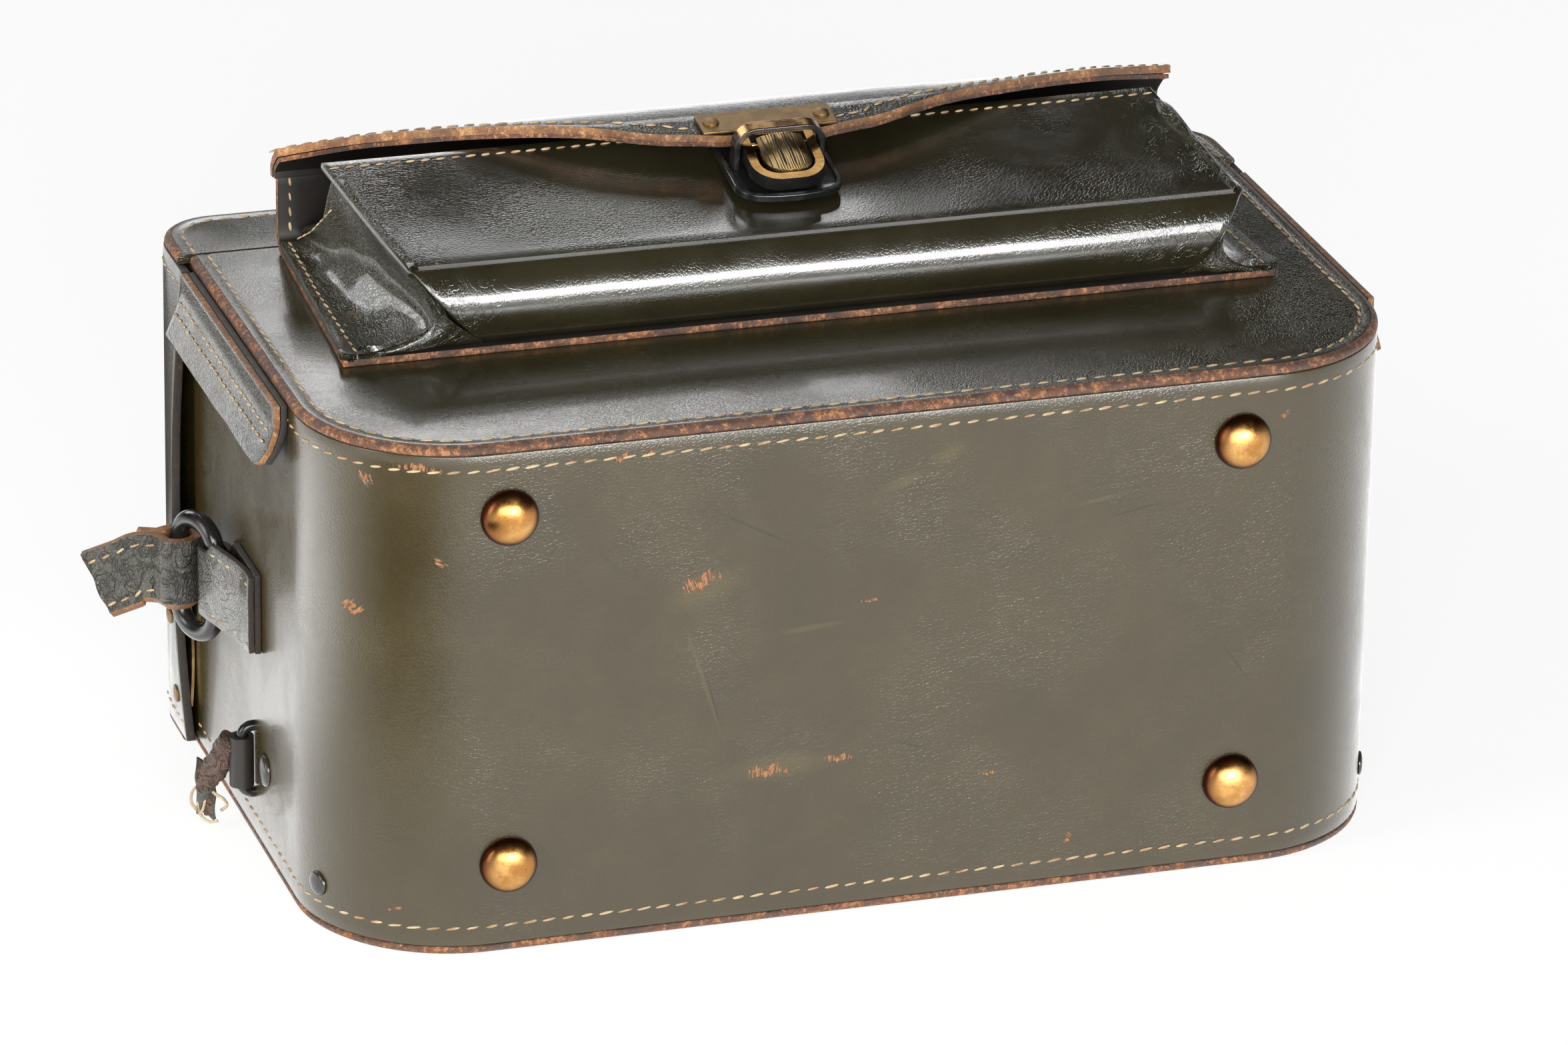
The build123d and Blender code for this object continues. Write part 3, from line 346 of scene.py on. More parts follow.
def buildMark():
    # one scrape: an oval on the case's bottom, filled evenly or with short torn strokes
    tree, given, result = socketed(
        "scrapeMark",
        [("Vector", "NodeSocketVector", None), ("Place", "NodeSocketVector", None),
         ("Reach", "NodeSocketVector", None), ("Turn", "NodeSocketFloat", 0.0),
         ("Solid", "NodeSocketFloat", 0.0)],
        [("Mask", "NodeSocketFloat")],
    )
    moved = vectorNode(tree, "SUBTRACT", given.outputs["Vector"], given.outputs["Place"]).outputs[0]
    turned = newNode(tree, "ShaderNodeVectorRotate", rotation_type="Y_AXIS")
    link(tree, moved, turned.inputs["Vector"])
    link(tree, given.outputs["Turn"], turned.inputs["Angle"])
    share = vectorNode(tree, "DIVIDE", turned.outputs[0], given.outputs["Reach"]).outputs[0]
    distance = vectorNode(tree, "LENGTH", share).outputs["Value"]
    inside = rangeNode(tree, distance, 0.2, 1.0, 1.0, 0.0)
    strokes = noiseNode(tree, stretched(tree, turned.outputs[0], (1.0, 0.2, 0.28)), 1000, 3, 0.7)
    limit = mathNode(tree, "SUBTRACT", 0.78, mathNode(tree, "MULTIPLY", inside, 0.34))
    torn = mathNode(tree, "MULTIPLY", mathNode(tree, "SUBTRACT", strokes, limit), 12, clamp=True)
    link(tree, mixNumber(tree, given.outputs["Solid"], torn, inside), result.inputs["Mask"])
    return tree


hideGrain = buildGrain()
bareFlecks = buildFlecks()
scrapeMark = buildMark()


# Materials
def startMaterial(name):
    material = bpy.data.materials.new(name)
    material.use_nodes = True
    tree = material.node_tree
    shader = tree.nodes["Principled BSDF"]
    coordinates = newNode(tree, "ShaderNodeTexCoord").outputs["Object"]
    return material, tree, shader, coordinates


def placeGroup(tree, group, **values):
    item = newNode(tree, "ShaderNodeGroup", node_tree=group)
    for label, value in values.items():
        if isinstance(value, (int, float, tuple)):
            item.inputs[label].default_value = value
        else:
            link(tree, value, item.inputs[label])
    return item


def readAttribute(tree, name):
    return newNode(tree, "ShaderNodeAttribute", attribute_name=name).outputs["Fac"]


def bump(tree, shader, height, distance, strength=1.0):
    item = newNode(tree, "ShaderNodeBump")
    item.inputs["Strength"].default_value = strength
    item.inputs["Distance"].default_value = distance
    link(tree, height, item.inputs["Height"])
    link(tree, item.outputs[0], shader.inputs["Normal"])


# scrapes on the bottom: middle across and up the face, half length, half width, turn; millimetres
bottomScrapes = {
    "torn": [(-51, 100.5, 11.5, 4.5, 21), (-32, 44, 12, 3.8, 2), (-12, 45.5, 9, 2.4, -2), (-4, 90, 5, 1.0, 4),
             (30, 36, 5, 1.3, 0), (53, 14, 3.5, 2.0, 50), (-121, 113, 2.5, 3.5, 60), (-141, 97, 5, 4.0, -30),
             (-131, 13, 4, 1.2, 20), (111, 131, 3, 2.4, 10), (-73, 138, 4.5, 2.6, 5), (-65, 139, 2, 2.0, 60),
             (-126, 139, 12, 2.2, -6), (-138, 134, 2.5, 4.5, 12)],
    "dull": [(-49.7, 72, 22, 0.8, -72.6), (5, 123, 8, 2.2, 18), (17, 129.5, 7, 2.8, 24),
             (-49, 98, 15, 6.0, 18), (-28, 45, 22, 5.0, 2), (-20, 84, 12, 1.2, 4),
             (60, 112, 10, 0.8, 8)],
    "cut": [(-36, 114, 15, 0.6, -29), (-47, 66, 9, 0.5, -75), (8, 47, 8, 0.5, -20), (70, 108, 12, 0.4, 10),
            (-92, 112, 4, 0.4, 60), (100, 60, 10, 0.4, -55)],
}
scrapeLook = {"dull": (2.1, 0.4), "cut": (0.35, 0.8)}  # brightness against the hide, and strength


def leather(name, dark, light, bare, roughness, pebble=0.6, crease=0.0, flecks=0.5, relief=0.00006,
            coat=0.2, scrapes=None):
    material, tree, shader, where = startMaterial(name)
    slack = mathNode(tree, "ADD", readAttribute(tree, "slack"), crease)
    grain = placeGroup(tree, hideGrain, Vector=where, Pebble=pebble, Crease=slack)
    marks = placeGroup(tree, bareFlecks, Vector=where, Amount=flecks, Wear=readAttribute(tree, "wear"))
    torn = marks.outputs["Mask"]
    tone = mixColour(tree, grain.outputs["Mottle"], dark, light)
    for kind, places in (scrapes or {}).items():
        mask = None
        for x, z, reach, width, turn in places:
            item = placeGroup(tree, scrapeMark, Vector=where, Place=tuple(at(x, 0, z)),
                              Reach=(reach / 1000, 0.08, width / 1000), Turn=math.radians(turn),
                              Solid=0.0 if kind == "torn" else 1.0)
            out = item.outputs["Mask"]
            mask = out if mask is None else mathNode(tree, "MAXIMUM", mask, out)
        if kind == "torn":
            torn = mathNode(tree, "MAXIMUM", torn, mask)
        else:
            brightness, strength = scrapeLook[kind]
            shade = tuple(c * brightness for c in light)
            tone = mixColour(tree, mathNode(tree, "MULTIPLY", mask, strength), tone, shade)
    bareTone = mixColour(tree, noiseNode(tree, where, 420, 3), tuple(0.45 * c for c in bare), bare)
    link(tree, mixColour(tree, torn, tone, bareTone), shader.inputs["Base Color"])
    gloss = mathNode(tree, "ADD", mathNode(tree, "MULTIPLY", grain.outputs["Smudge"], 0.09), roughness)
    gloss = mathNode(tree, "ADD", gloss, mathNode(tree, "MULTIPLY", torn, 0.4))
    link(tree, gloss, shader.inputs["Roughness"])
    shader.inputs["Specular IOR Level"].default_value = 0.4
    shader.inputs["Coat Weight"].default_value = coat
    shader.inputs["Coat Roughness"].default_value = 0.1
    height = mathNode(tree, "SUBTRACT", grain.outputs["Height"], mathNode(tree, "MULTIPLY", torn, 3.0))
    bump(tree, shader, height, relief)
    return material


def weighted(tree, a, shareA, b, shareB):
    return mathNode(tree, "ADD", mathNode(tree, "MULTIPLY", a, shareA),
                    mathNode(tree, "MULTIPLY", b, shareB))


def rawEdge(name, dark, middle, dust, dusty=0.62):
    # cut or worn edge of the hide: fibres, dark oil and dry suede
    material, tree, shader, where = startMaterial(name)
    fibre = noiseNode(tree, where, 1300, 5, 0.75)
    patch = noiseNode(tree, where, 110, 4, 0.65)
    tone = weighted(tree, fibre, 0.5, patch, 0.9)
    base = mixColour(tree, rangeNode(tree, tone, 0.52, 0.9), dark, middle)
    specks = weighted(tree, noiseNode(tree, where, 620, 4, 0.8), 0.7, patch, 0.3)
    colour = mixColour(tree, rangeNode(tree, specks, dusty - 0.08, dusty + 0.06), base, dust)
    link(tree, colour, shader.inputs["Base Color"])
    link(tree, rangeNode(tree, patch, 0.3, 0.7, 0.45, 0.8), shader.inputs["Roughness"])
    bump(tree, shader, mathNode(tree, "ADD", fibre, patch), 0.00035)
    return material


def threadMaterial(name, pale, dark):
    material, tree, shader, where = startMaterial(name)
    dirt = noiseNode(tree, where, 160, 3)
    twist = noiseNode(tree, where, 2400, 2)
    link(tree, mixColour(tree, rangeNode(tree, dirt, 0.4, 0.66), pale, dark), shader.inputs["Base Color"])
    shader.inputs["Roughness"].default_value = 0.8
    bump(tree, shader, twist, 0.0002)
    return material


def metal(name, base, worn, dark, roughness, metallic=1.0, speck=0.5, relief=0.00004, bared=None):
    # patina painted on the mesh darkens rims and hollows
    material, tree, shader, where = startMaterial(name)
    cloud = noiseNode(tree, where, 150, 5, 0.65)
    fine = noiseNode(tree, where, 900, 4, 0.7)
    tone = mixColour(tree, rangeNode(tree, cloud, 0.38, 0.66), base, worn)
    pits = rangeNode(tree, fine, 0.68 - 0.1 * speck, 0.76)
    tone = mixColour(tree, pits, tone, dark)
    rim = mathNode(tree, "ADD", readAttribute(tree, "patina"), mathNode(tree, "MULTIPLY", cloud, 0.25))
    rim = rangeNode(tree, rim, 0.25, 0.95)
    tone = mixColour(tree, rim, tone, tuple(0.75 * c for c in dark))
    shader.inputs["Metallic"].default_value = metallic
    if bared:
        rubbed = mathNode(tree, "MULTIPLY", mathNode(tree, "SUBTRACT", fine, 0.5), 0.8)
        rubbed = rangeNode(tree, mathNode(tree, "ADD", readAttribute(tree, "bare"), rubbed), 0.35, 0.6)
        brass = mixColour(tree, rangeNode(tree, cloud, 0.38, 0.66), *bared)
        tone = mixColour(tree, rubbed, tone, brass)
        link(tree, mixNumber(tree, rubbed, metallic, 1.0), shader.inputs["Metallic"])
    link(tree, tone, shader.inputs["Base Color"])
    link(tree, rangeNode(tree, cloud, 0.3, 0.7, roughness, roughness + 0.16), shader.inputs["Roughness"])
    bump(tree, shader, mathNode(tree, "ADD", fine, cloud), relief)
    return material


def cloth(name, dark, light, sheen=0.4):
    material, tree, shader, where = startMaterial(name)
    nap = noiseNode(tree, where, 1400, 3, 0.7)
    shade = noiseNode(tree, where, 40, 3)
    tone = weighted(tree, nap, 0.6, shade, 0.4)
    link(tree, mixColour(tree, rangeNode(tree, tone, 0.35, 0.65), dark, light), shader.inputs["Base Color"])
    shader.inputs["Roughness"].default_value = 0.95
    shader.inputs["Sheen Weight"].default_value = sheen
    bump(tree, shader, nap, 0.0003)
    return material


bareTan = (0.50, 0.21, 0.08)
# the wrap's hide and the panels' hide are one leather in two tones: the wrap's copy is painted lighter for
# the strong front light on the bottom, and the copy for the panels and lid is painted darker for their weaker
# light
baseHideLitCopy = leather("baseHideLitCopy", (0.040, 0.028, 0.007), (0.053, 0.039, 0.012), bareTan, 0.27,
                   flecks=0.4, scrapes=bottomScrapes)
panelHideShadedCopy = leather("panelHideShadedCopy", (0.026, 0.022, 0.009), (0.038, 0.033, 0.014), bareTan, 0.22, flecks=0.3)
pocketHide = leather("pocketHide", (0.020, 0.017, 0.008), (0.030, 0.027, 0.013), bareTan, 0.17,
                     pebble=0.4, flecks=0.25, coat=0.35)
slackHide = leather("slackHide", (0.020, 0.018, 0.009), (0.034, 0.031, 0.015), bareTan, 0.2,
                    pebble=1.6, crease=0.25, flecks=0.2, relief=0.00008, coat=0.3)
innerHide = leather("innerHide", (0.010, 0.008, 0.006), (0.020, 0.016, 0.012), (0.2, 0.1, 0.05), 0.5,
                    flecks=0.1, coat=0.0)
strapHide = leather("strapHide", (0.045, 0.043, 0.034), (0.13, 0.125, 0.10), (0.5, 0.33, 0.2), 0.34,
                    pebble=2.5, crease=1.2, flecks=0.8, relief=0.00014, coat=0.15)
tornHide = leather("tornHide", (0.05, 0.028, 0.018), (0.13, 0.08, 0.055), (0.42, 0.3, 0.2), 0.5,
                   pebble=2.6, crease=1.0, flecks=0.6, relief=0.0002, coat=0.0)
coreFelt = rawEdge("coreFelt", (0.035, 0.045, 0.035), (0.12, 0.13, 0.10), (0.32, 0.26, 0.17), 0.66)
edgeHide = rawEdge("edgeHide", (0.045, 0.017, 0.009), (0.19, 0.072, 0.030), (0.50, 0.22, 0.09), 0.565)
suedeEdge = rawEdge("suedeEdge", (0.15, 0.062, 0.022), (0.40, 0.18, 0.07), (0.62, 0.36, 0.17), 0.58)
darkEdge = rawEdge("darkEdge", (0.012, 0.010, 0.008), (0.045, 0.028, 0.018), (0.20, 0.10, 0.05), 0.66)
creamThread = threadMaterial("creamThread", (0.62, 0.47, 0.28), (0.36, 0.22, 0.11))
linenThread = threadMaterial("linenThread", (0.66, 0.52, 0.34), (0.40, 0.29, 0.18))
footBrass = metal("footBrass", (0.27, 0.125, 0.035), (0.44, 0.25, 0.085), (0.10, 0.025, 0.010), 0.24)
lockBrass = metal("lockBrass", (0.26, 0.17, 0.075), (0.42, 0.30, 0.14), (0.07, 0.035, 0.018), 0.27)
rubbedBlack = metal("rubbedBlack", (0.012, 0.012, 0.012), (0.02, 0.019, 0.018), (0.06, 0.05, 0.04),
                    0.16, metallic=0.2, speck=0.2, bared=((0.19, 0.105, 0.035), (0.33, 0.195, 0.075)))
dullBrass = metal("dullBrass", (0.13, 0.08, 0.035), (0.22, 0.145, 0.065), (0.05, 0.028, 0.014), 0.36)
blackEnamel = metal("blackEnamel", (0.012, 0.012, 0.012), (0.02, 0.019, 0.018), (0.06, 0.05, 0.04),
                    0.14, metallic=0.2, speck=0.2)
caseCloth = cloth("caseCloth", (0.10, 0.014, 0.012), (0.2, 0.035, 0.03))
fibreBoard = cloth("fibreBoard", (0.28, 0.21, 0.13), (0.4, 0.31, 0.2), 0.0)
print("materials made")


# Mesh helpers
def addObject(name, mesh):
    item = bpy.data.objects.new(name, mesh)
    bpy.context.scene.collection.objects.link(item)
    return item


def lerp(a, b, t):
    return tuple(p + (q - p) * t for p, q in zip(a, b))


def gridMesh(name, rows, closedRow=False, closedColumn=False):
    # rows of points in case millimetres
    count, width = len(rows), len(rows[0])
    mesh = bpy.data.meshes.new(name)
    points = [at(*p) for row in rows for p in row]
    faces = []
    for i in range(count if closedColumn else count - 1):
        for j in range(width if closedRow else width - 1):
            a, b = i * width + j, i * width + (j + 1) % width
            k = ((i + 1) % count) * width
            faces.append((a, b, k + (j + 1) % width, k + j))
    mesh.from_pydata(points, [], faces)
    return mesh


def pointOutwards(mesh, caps=(), capIndex=0):
    # closes the open ends, each given by its vertex numbers, and turns every face outwards
    shell = bmesh.new()
    shell.from_mesh(mesh)
    shell.verts.ensure_lookup_table()
    for cap in caps:
        shell.faces.new([shell.verts[i] for i in cap]).material_index = capIndex
    bmesh.ops.recalc_face_normals(shell, faces=shell.faces)
    shell.to_mesh(mesh)
    shell.free()


def arcPoints(centre, radius, start, end, count):
    angles = [math.radians(start + (end - start) * i / count) for i in range(count + 1)]
    return [(centre[0] + radius * math.cos(a), centre[1] + radius * math.sin(a)) for a in angles]


def spread(points, step):
    # the same open line with points about a step apart
    out = [points[0]]
    for a, b in zip(points, points[1:]):
        n = max(1, round(math.dist(a, b) / step))
        out += [lerp(a, b, i / n) for i in range(1, n + 1)]
    return out


def even(points, count):
    # the line resampled to count equal steps
    lengths = [0.0]
    for a, b in zip(points, points[1:]):
        lengths.append(lengths[-1] + math.dist(a, b))
    out, k = [], 0
    for i in range(count + 1):
        goal = lengths[-1] * i / count
        while k < len(points) - 2 and lengths[k + 1] < goal:
            k += 1
        span = lengths[k + 1] - lengths[k] or 1.0
        out.append(lerp(points[k], points[k + 1], min(1.0, max(0.0, (goal - lengths[k]) / span))))
    return out


def softened(points, soft=0.3, steps=6):
    # the line with its inner corners rounded off
    out = [points[0]]
    for a, b, c in zip(points, points[1:], points[2:]):
        near, far = lerp(b, a, soft), lerp(b, c, soft)
        for i in range(steps + 1):
            t = i / steps
            out.append(lerp(lerp(near, b, t), lerp(b, far, t), t))
    return out + [points[-1]]


def sideways(points):
    # unit normals of a flat line, to the right of its run
    out = []
    for i in range(len(points)):
        a, b = points[max(i - 1, 0)], points[min(i + 1, len(points) - 1)]
        dx, dy = b[0] - a[0], b[1] - a[1]
        size = math.hypot(dx, dy) or 1.0
        out.append((dy / size, -dx / size))
    return out


def caseOutline(top, inset=0.0, step=3.0):
    # the U of the case's front: down the left end, along the bottom, up the right end
    low, radius = inset, cornerRadius - inset
    half = caseHalf - inset
    line = [(-half, top), (-half, cornerRadius)]
    line += arcPoints((-caseHalf + cornerRadius, cornerRadius), radius, 180, 270, 20)[1:]
    line += [(caseHalf - cornerRadius, low)]
    line += arcPoints((caseHalf - cornerRadius, cornerRadius), radius, 270, 360, 20)[1:]
    line += [(half, top)]
    return spread(line, step)


def wander(x, y, z, size=30.0, seed=0.0):
    return noise.noise(Vector((x / size + seed, y / size - seed, z / size + 2 * seed)))


def paint(mesh, name, value):
    # value(x, y, z in case millimetres) gives how worn or slack the hide is there, 0 to 1
    layer = mesh.attributes.new(name, "FLOAT", "POINT")
    for vertex in mesh.vertices:
        p = vertex.co * 1000
        layer.data[vertex.index].value = value(p.x, p.y - bottomY, p.z)


def finishPiece(item, body, *replaced, slot=None, smooth=40):
    item.data.shade_smooth()
    if smooth:
        item.data.set_sharp_from_angle(angle=math.radians(smooth))
    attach(item, body)
    if replaced:
        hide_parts(*replaced)
    return item


def thicken(item, thickness, offset=-1.0, roundEdge=0.4):
    # the rim takes the second material
    wall = item.modifiers.new("thickness", "SOLIDIFY")
    wall.thickness = thickness / 1000
    wall.offset = offset
    wall.use_even_offset = True
    wall.material_offset_rim = 1
    if roundEdge:
        soft = item.modifiers.new("softEdge", "BEVEL")
        soft.width = roundEdge / 1000
        soft.segments = 2
        soft.limit_method = "ANGLE"
        soft.angle_limit = math.radians(55)


def hideSheet(name, rows, thickness, outward, body, replaced, slot="case_leather", faces=(None, None),
              wear=None, slack=None, offset=-1.0, roundEdge=0.4, smooth=50):
    # a piece of hide from rows of points on its outer side, with its cut edge as a second material
    mesh = gridMesh(name, rows)
    middle = mesh.polygons[len(mesh.polygons) // 2]
    if middle.normal.dot(Vector(outward)) < 0:
        mesh.flip_normals()
    for material in faces:
        mesh.materials.append(material)
    if wear:
        paint(mesh, "wear", wear)
    if slack:
        paint(mesh, "slack", slack)
    item = addObject(name, mesh)
    thicken(item, thickness, offset, roundEdge=roundEdge)
    return finishPiece(item, body, *replaced, slot=slot, smooth=smooth)


def frameAlong(points, first):
    # a steady pair of cross directions at each point of a line
    frames, normal = [], Vector(first)
    for i in range(len(points)):
        a, b = Vector(points[max(i - 1, 0)]), Vector(points[min(i + 1, len(points) - 1)])
        along = (b - a).normalized()
        normal = (normal - along * normal.dot(along)).normalized()
        frames.append((normal.copy(), along.cross(normal)))
    return frames


def tube(name, points, radii, sides=16, first=(0, 0, 1), rough=0.0):
    # a round rod along points in case millimetres; radii is one number or one for each point
    rows = []
    for i, (p, (u, v)) in enumerate(zip(points, frameAlong(points, first))):
        radius = radii if isinstance(radii, (int, float)) else radii[i]
        row = []
        for k in range(sides):
            turn = 2 * math.pi * k / sides
            out = u * math.cos(turn) + v * math.sin(turn)
            here = Vector(p) + out * radius
            here += out * rough * radius * wander(*here, 2.6, 4.0)
            row.append(tuple(here))
        rows.append(row)
    mesh = gridMesh(name, rows, closedRow=True)
    last = sides * (len(points) - 1)
    pointOutwards(mesh, [range(sides), range(last, last + sides)])
    return mesh


def turnedMesh(name, profile, place, sides=40, patina=None):
    # a head turned from (radius, height) points; place maps its own frame to the case
    shell = bmesh.new()
    layer = shell.verts.layers.float.new("patina")
    rings = []
    for index, (radius, height) in enumerate(profile):
        if radius < 1e-6:
            spots = [shell.verts.new(at(*(place @ Vector((0, 0, height)))))] * sides
        else:
            spots = []
            for k in range(sides):
                turn = 2 * math.pi * k / sides
                p = place @ Vector((radius * math.cos(turn), radius * math.sin(turn), height))
                spots.append(shell.verts.new(at(*p)))
        for spot in spots:
            spot[layer] = patina[index] if patina else 0.0
        rings.append(spots)
    for a, b in zip(rings, rings[1:]):
        for k in range(sides):
            corners = [a[k], a[(k + 1) % sides], b[(k + 1) % sides], b[k]]
            unique = [v for i, v in enumerate(corners) if v not in corners[:i]]
            if len(unique) > 2:
                shell.faces.new(unique)
    shell.faces.new(list(reversed(rings[0])))
    bmesh.ops.recalc_face_normals(shell, faces=shell.faces)
    mesh = bpy.data.meshes.new(name)
    shell.to_mesh(mesh)
    shell.free()
    return mesh


def axesAt(origin, zAxis, xAxis=(1, 0, 0)):
    z = Vector(zAxis).normalized()
    x = Vector(xAxis)
    x = (x - z * x.dot(z)).normalized()
    y = z.cross(x)
    return Matrix(((x.x, y.x, z.x, origin[0]), (x.y, y.y, z.y, origin[1]), (x.z, y.z, z.z, origin[2]),
                   (0, 0, 0, 1)))


def mirrorMesh(mesh, name):
    other = mesh.copy()
    other.name = name
    for vertex in other.vertices:
        vertex.co.x = -vertex.co.x
    other.flip_normals()
    return other


# Sewing
def buildStitchTree():
    tree = bpy.data.node_groups.new("sewnRow", "GeometryNodeTree")
    tree.interface.new_socket("Geometry", in_out="INPUT", socket_type="NodeSocketGeometry")
    for label, value in (("Pitch", 0.0052), ("Length", 0.0041), ("Width", 0.0008), ("Height", 0.0006),
                         ("Slant", 0.14)):
        socket = tree.interface.new_socket(label, in_out="INPUT", socket_type="NodeSocketFloat")
        socket.default_value = value
    seed = tree.interface.new_socket("Seed", in_out="INPUT", socket_type="NodeSocketInt")
    seed.default_value = 3
    tree.interface.new_socket("Thread", in_out="INPUT", socket_type="NodeSocketMaterial")
    tree.interface.new_socket("Geometry", in_out="OUTPUT", socket_type="NodeSocketGeometry")
    given, result = newNode(tree, "NodeGroupInput"), newNode(tree, "NodeGroupOutput")
    line = newNode(tree, "GeometryNodeMeshToCurve")
    link(tree, given.outputs["Geometry"], line.inputs[0])
    points = newNode(tree, "GeometryNodeCurveToPoints", mode="LENGTH")
    link(tree, line.outputs[0], points.inputs["Curve"])
    link(tree, given.outputs["Pitch"], points.inputs["Length"])
    along = newNode(tree, "FunctionNodeAlignRotationToVector", axis="X")
    link(tree, points.outputs["Tangent"], along.inputs["Vector"])
    outward = newNode(tree, "GeometryNodeInputNamedAttribute", data_type="FLOAT_VECTOR")
    outward.inputs["Name"].default_value = "outward"
    upright = newNode(tree, "FunctionNodeAlignRotationToVector", axis="Z", pivot_axis="X")
    link(tree, along.outputs[0], upright.inputs["Rotation"])
    link(tree, outward.outputs["Attribute"], upright.inputs["Vector"])
    grain = newNode(tree, "GeometryNodeMeshUVSphere")
    grain.inputs["Segments"].default_value = 8
    grain.inputs["Rings"].default_value = 6
    grain.inputs["Radius"].default_value = 0.5
    size = newNode(tree, "ShaderNodeCombineXYZ")
    for axis, label in zip("XYZ", ("Length", "Width", "Height")):
        link(tree, given.outputs[label], size.inputs[axis])
    shape = newNode(tree, "GeometryNodeTransform")
    link(tree, grain.outputs["Mesh"], shape.inputs["Geometry"])
    link(tree, size.outputs[0], shape.inputs["Scale"])
    uneven = newNode(tree, "FunctionNodeRandomValue", data_type="FLOAT_VECTOR")
    uneven.inputs[0].default_value = (0.82, 0.8, 0.7)
    uneven.inputs[1].default_value = (1.06, 1.15, 1.2)
    link(tree, given.outputs["Seed"], uneven.inputs["Seed"])
    spots = newNode(tree, "GeometryNodeInstanceOnPoints")
    link(tree, points.outputs["Points"], spots.inputs["Points"])
    link(tree, shape.outputs[0], spots.inputs["Instance"])
    link(tree, upright.outputs[0], spots.inputs["Rotation"])
    link(tree, uneven.outputs[0], spots.inputs["Scale"])
    tilt = newNode(tree, "ShaderNodeCombineXYZ")
    link(tree, given.outputs["Slant"], tilt.inputs["Z"])
    turned = newNode(tree, "GeometryNodeRotateInstances")
    link(tree, spots.outputs[0], turned.inputs["Instances"])
    link(tree, tilt.outputs[0], turned.inputs["Rotation"])
    real = newNode(tree, "GeometryNodeRealizeInstances")
    link(tree, turned.outputs[0], real.inputs[0])
    smooth = newNode(tree, "GeometryNodeSetShadeSmooth")
    link(tree, real.outputs[0], smooth.inputs["Geometry"])
    painted = newNode(tree, "GeometryNodeSetMaterial")
    link(tree, smooth.outputs[0], painted.inputs["Geometry"])
    link(tree, given.outputs["Thread"], painted.inputs["Material"])
    link(tree, painted.outputs[0], result.inputs[0])
    return tree


sewnRow = buildStitchTree()
sewnRows = {}  # body: list of (points, outward normals, settings)
sewingStep = 1.5
# rows finer than the case's own, in metres
stitchSizes = {
    "gusset": {"Length": 0.0036, "Pitch": 0.0046},
    "flap": {"Length": 0.0034, "Pitch": 0.0044},
    "rim": {"Length": 0.0032, "Pitch": 0.0042},
    "strap": {"Length": 0.003, "Pitch": 0.0038},
}
seamSink = {"front": 0.1, "back": 0.32}  # how deep the thread lies in the valley of each face


def sew(body, points, outward, **settings):
    # points in case millimetres; outward is one normal for the row or one for each point
    if len(outward) == 3 and isinstance(outward[0], (int, float)):
        outward = [outward] * len(points)
    sewnRows.setdefault(body, []).append((points, outward, settings))


def sewFaces(body, row):
    sew(body, [(x, y, caseDepth - seamSink["front"]) for x, y in row], (0, 0, 1))
    sew(body, [(x, y, seamSink["back"]) for x, y in row], (0, 0, -1))


def makeSewing():
    for body, rows in sewnRows.items():
        together = bmesh.new()
        for number, (points, outward, settings) in enumerate(rows):
            mesh = bpy.data.meshes.new("row")
            mesh.from_pydata([at(*p) for p in points], [(i, i + 1) for i in range(len(points) - 1)], [])
            layer = mesh.attributes.new("outward", "FLOAT_VECTOR", "POINT")
            for i, n in enumerate(outward):
                layer.data[i].vector = n
            row = addObject("row", mesh)
            modifier = row.modifiers.new("sewing", "NODES")
            modifier.node_group = sewnRow
            values = {"Thread": creamThread, "Seed": number + 1, **settings}
            for item in sewnRow.interface.items_tree:
                if item.in_out == "INPUT" and item.name in values:
                    modifier[item.identifier] = values[item.name]
            graph = bpy.context.evaluated_depsgraph_get()
            together.from_mesh(bpy.data.meshes.new_from_object(row.evaluated_get(graph)))
            bpy.data.objects.remove(row)
        mesh = bpy.data.meshes.new(f"thread_{body}")
        together.to_mesh(mesh)
        together.free()
        mesh.materials.append(creamThread)
        mesh.shade_smooth()
        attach(addObject(f"thread_{body}", mesh), body)
        print(f"sewing on {body}: {len(mesh.polygons)} faces")


# Case body
wrapShape = {
    "open": 169.0, "rows": 46, "frontStitch": 4.4, "backStitch": 5.4, "panelStitch": 5.0, "sewnTo": 148,
    "tuckStart": 151.0, "tuckRun": 5.0, "trimBack": 1.8, "trimFront": 0.8,
    "swell": 0.25, "swellTop": 145, "edgeBand": 6.0, "edgeDrop": 0.12,
}


def wrapLimits(y):
    # the hide is trimmed back where it tucks into the lid
    share = min(1.0, max(0.0, (y - wrapShape["tuckStart"]) / wrapShape["tuckRun"]))
    return hide + wrapShape["trimBack"] * share, caseDepth - hide - wrapShape["trimFront"] * share


def buildWrap():
    shape = wrapShape
    path = caseOutline(shape["open"])
    rows = []
    for (x, y), (nx, ny) in zip(path, sideways(path)):
        low, high = wrapLimits(y)
        row = []
        for i in range(shape["rows"] + 1):
            z = low + (high - low) * i / shape["rows"]
            swell = shape["swell"] * wander(x, y, z, 55) if y < shape["swellTop"] else 0.0
            edge = min(z - low, high - z, shape["edgeBand"]) / shape["edgeBand"]
            lift = min(0.0, swell) * edge - shape["edgeDrop"] * (1 - edge) ** 2
            row.append((x + nx * lift, y + ny * lift, z))
        rows.append(row)

    def wear(x, y, z):
        return 0.5 * max(0.0, 1 - min(z - hide, caseDepth - hide - z) / 3.0) if y < 150 else 0.0

    # the wrap wears the lighter copy of the leather, painted lighter for the light that falls on the bottom
    hideSheet("caseWrap", rows, hide, (0, -1, 0), "case", ["body_wrap"], faces=(baseHideLitCopy, darkEdge),
              wear=wear)


panelShape = {
    "profile": [(0.35, -2.6), (0.0, -2.2), (0.0, -1.5), (0.3, -0.8), (0.95, -0.3), (1.8, -0.02),
                (2.3, 0.0), (3.9, 0.0), (4.9, -0.22), (6.2, 0.0)],
    "edgeFaces": 5,
}


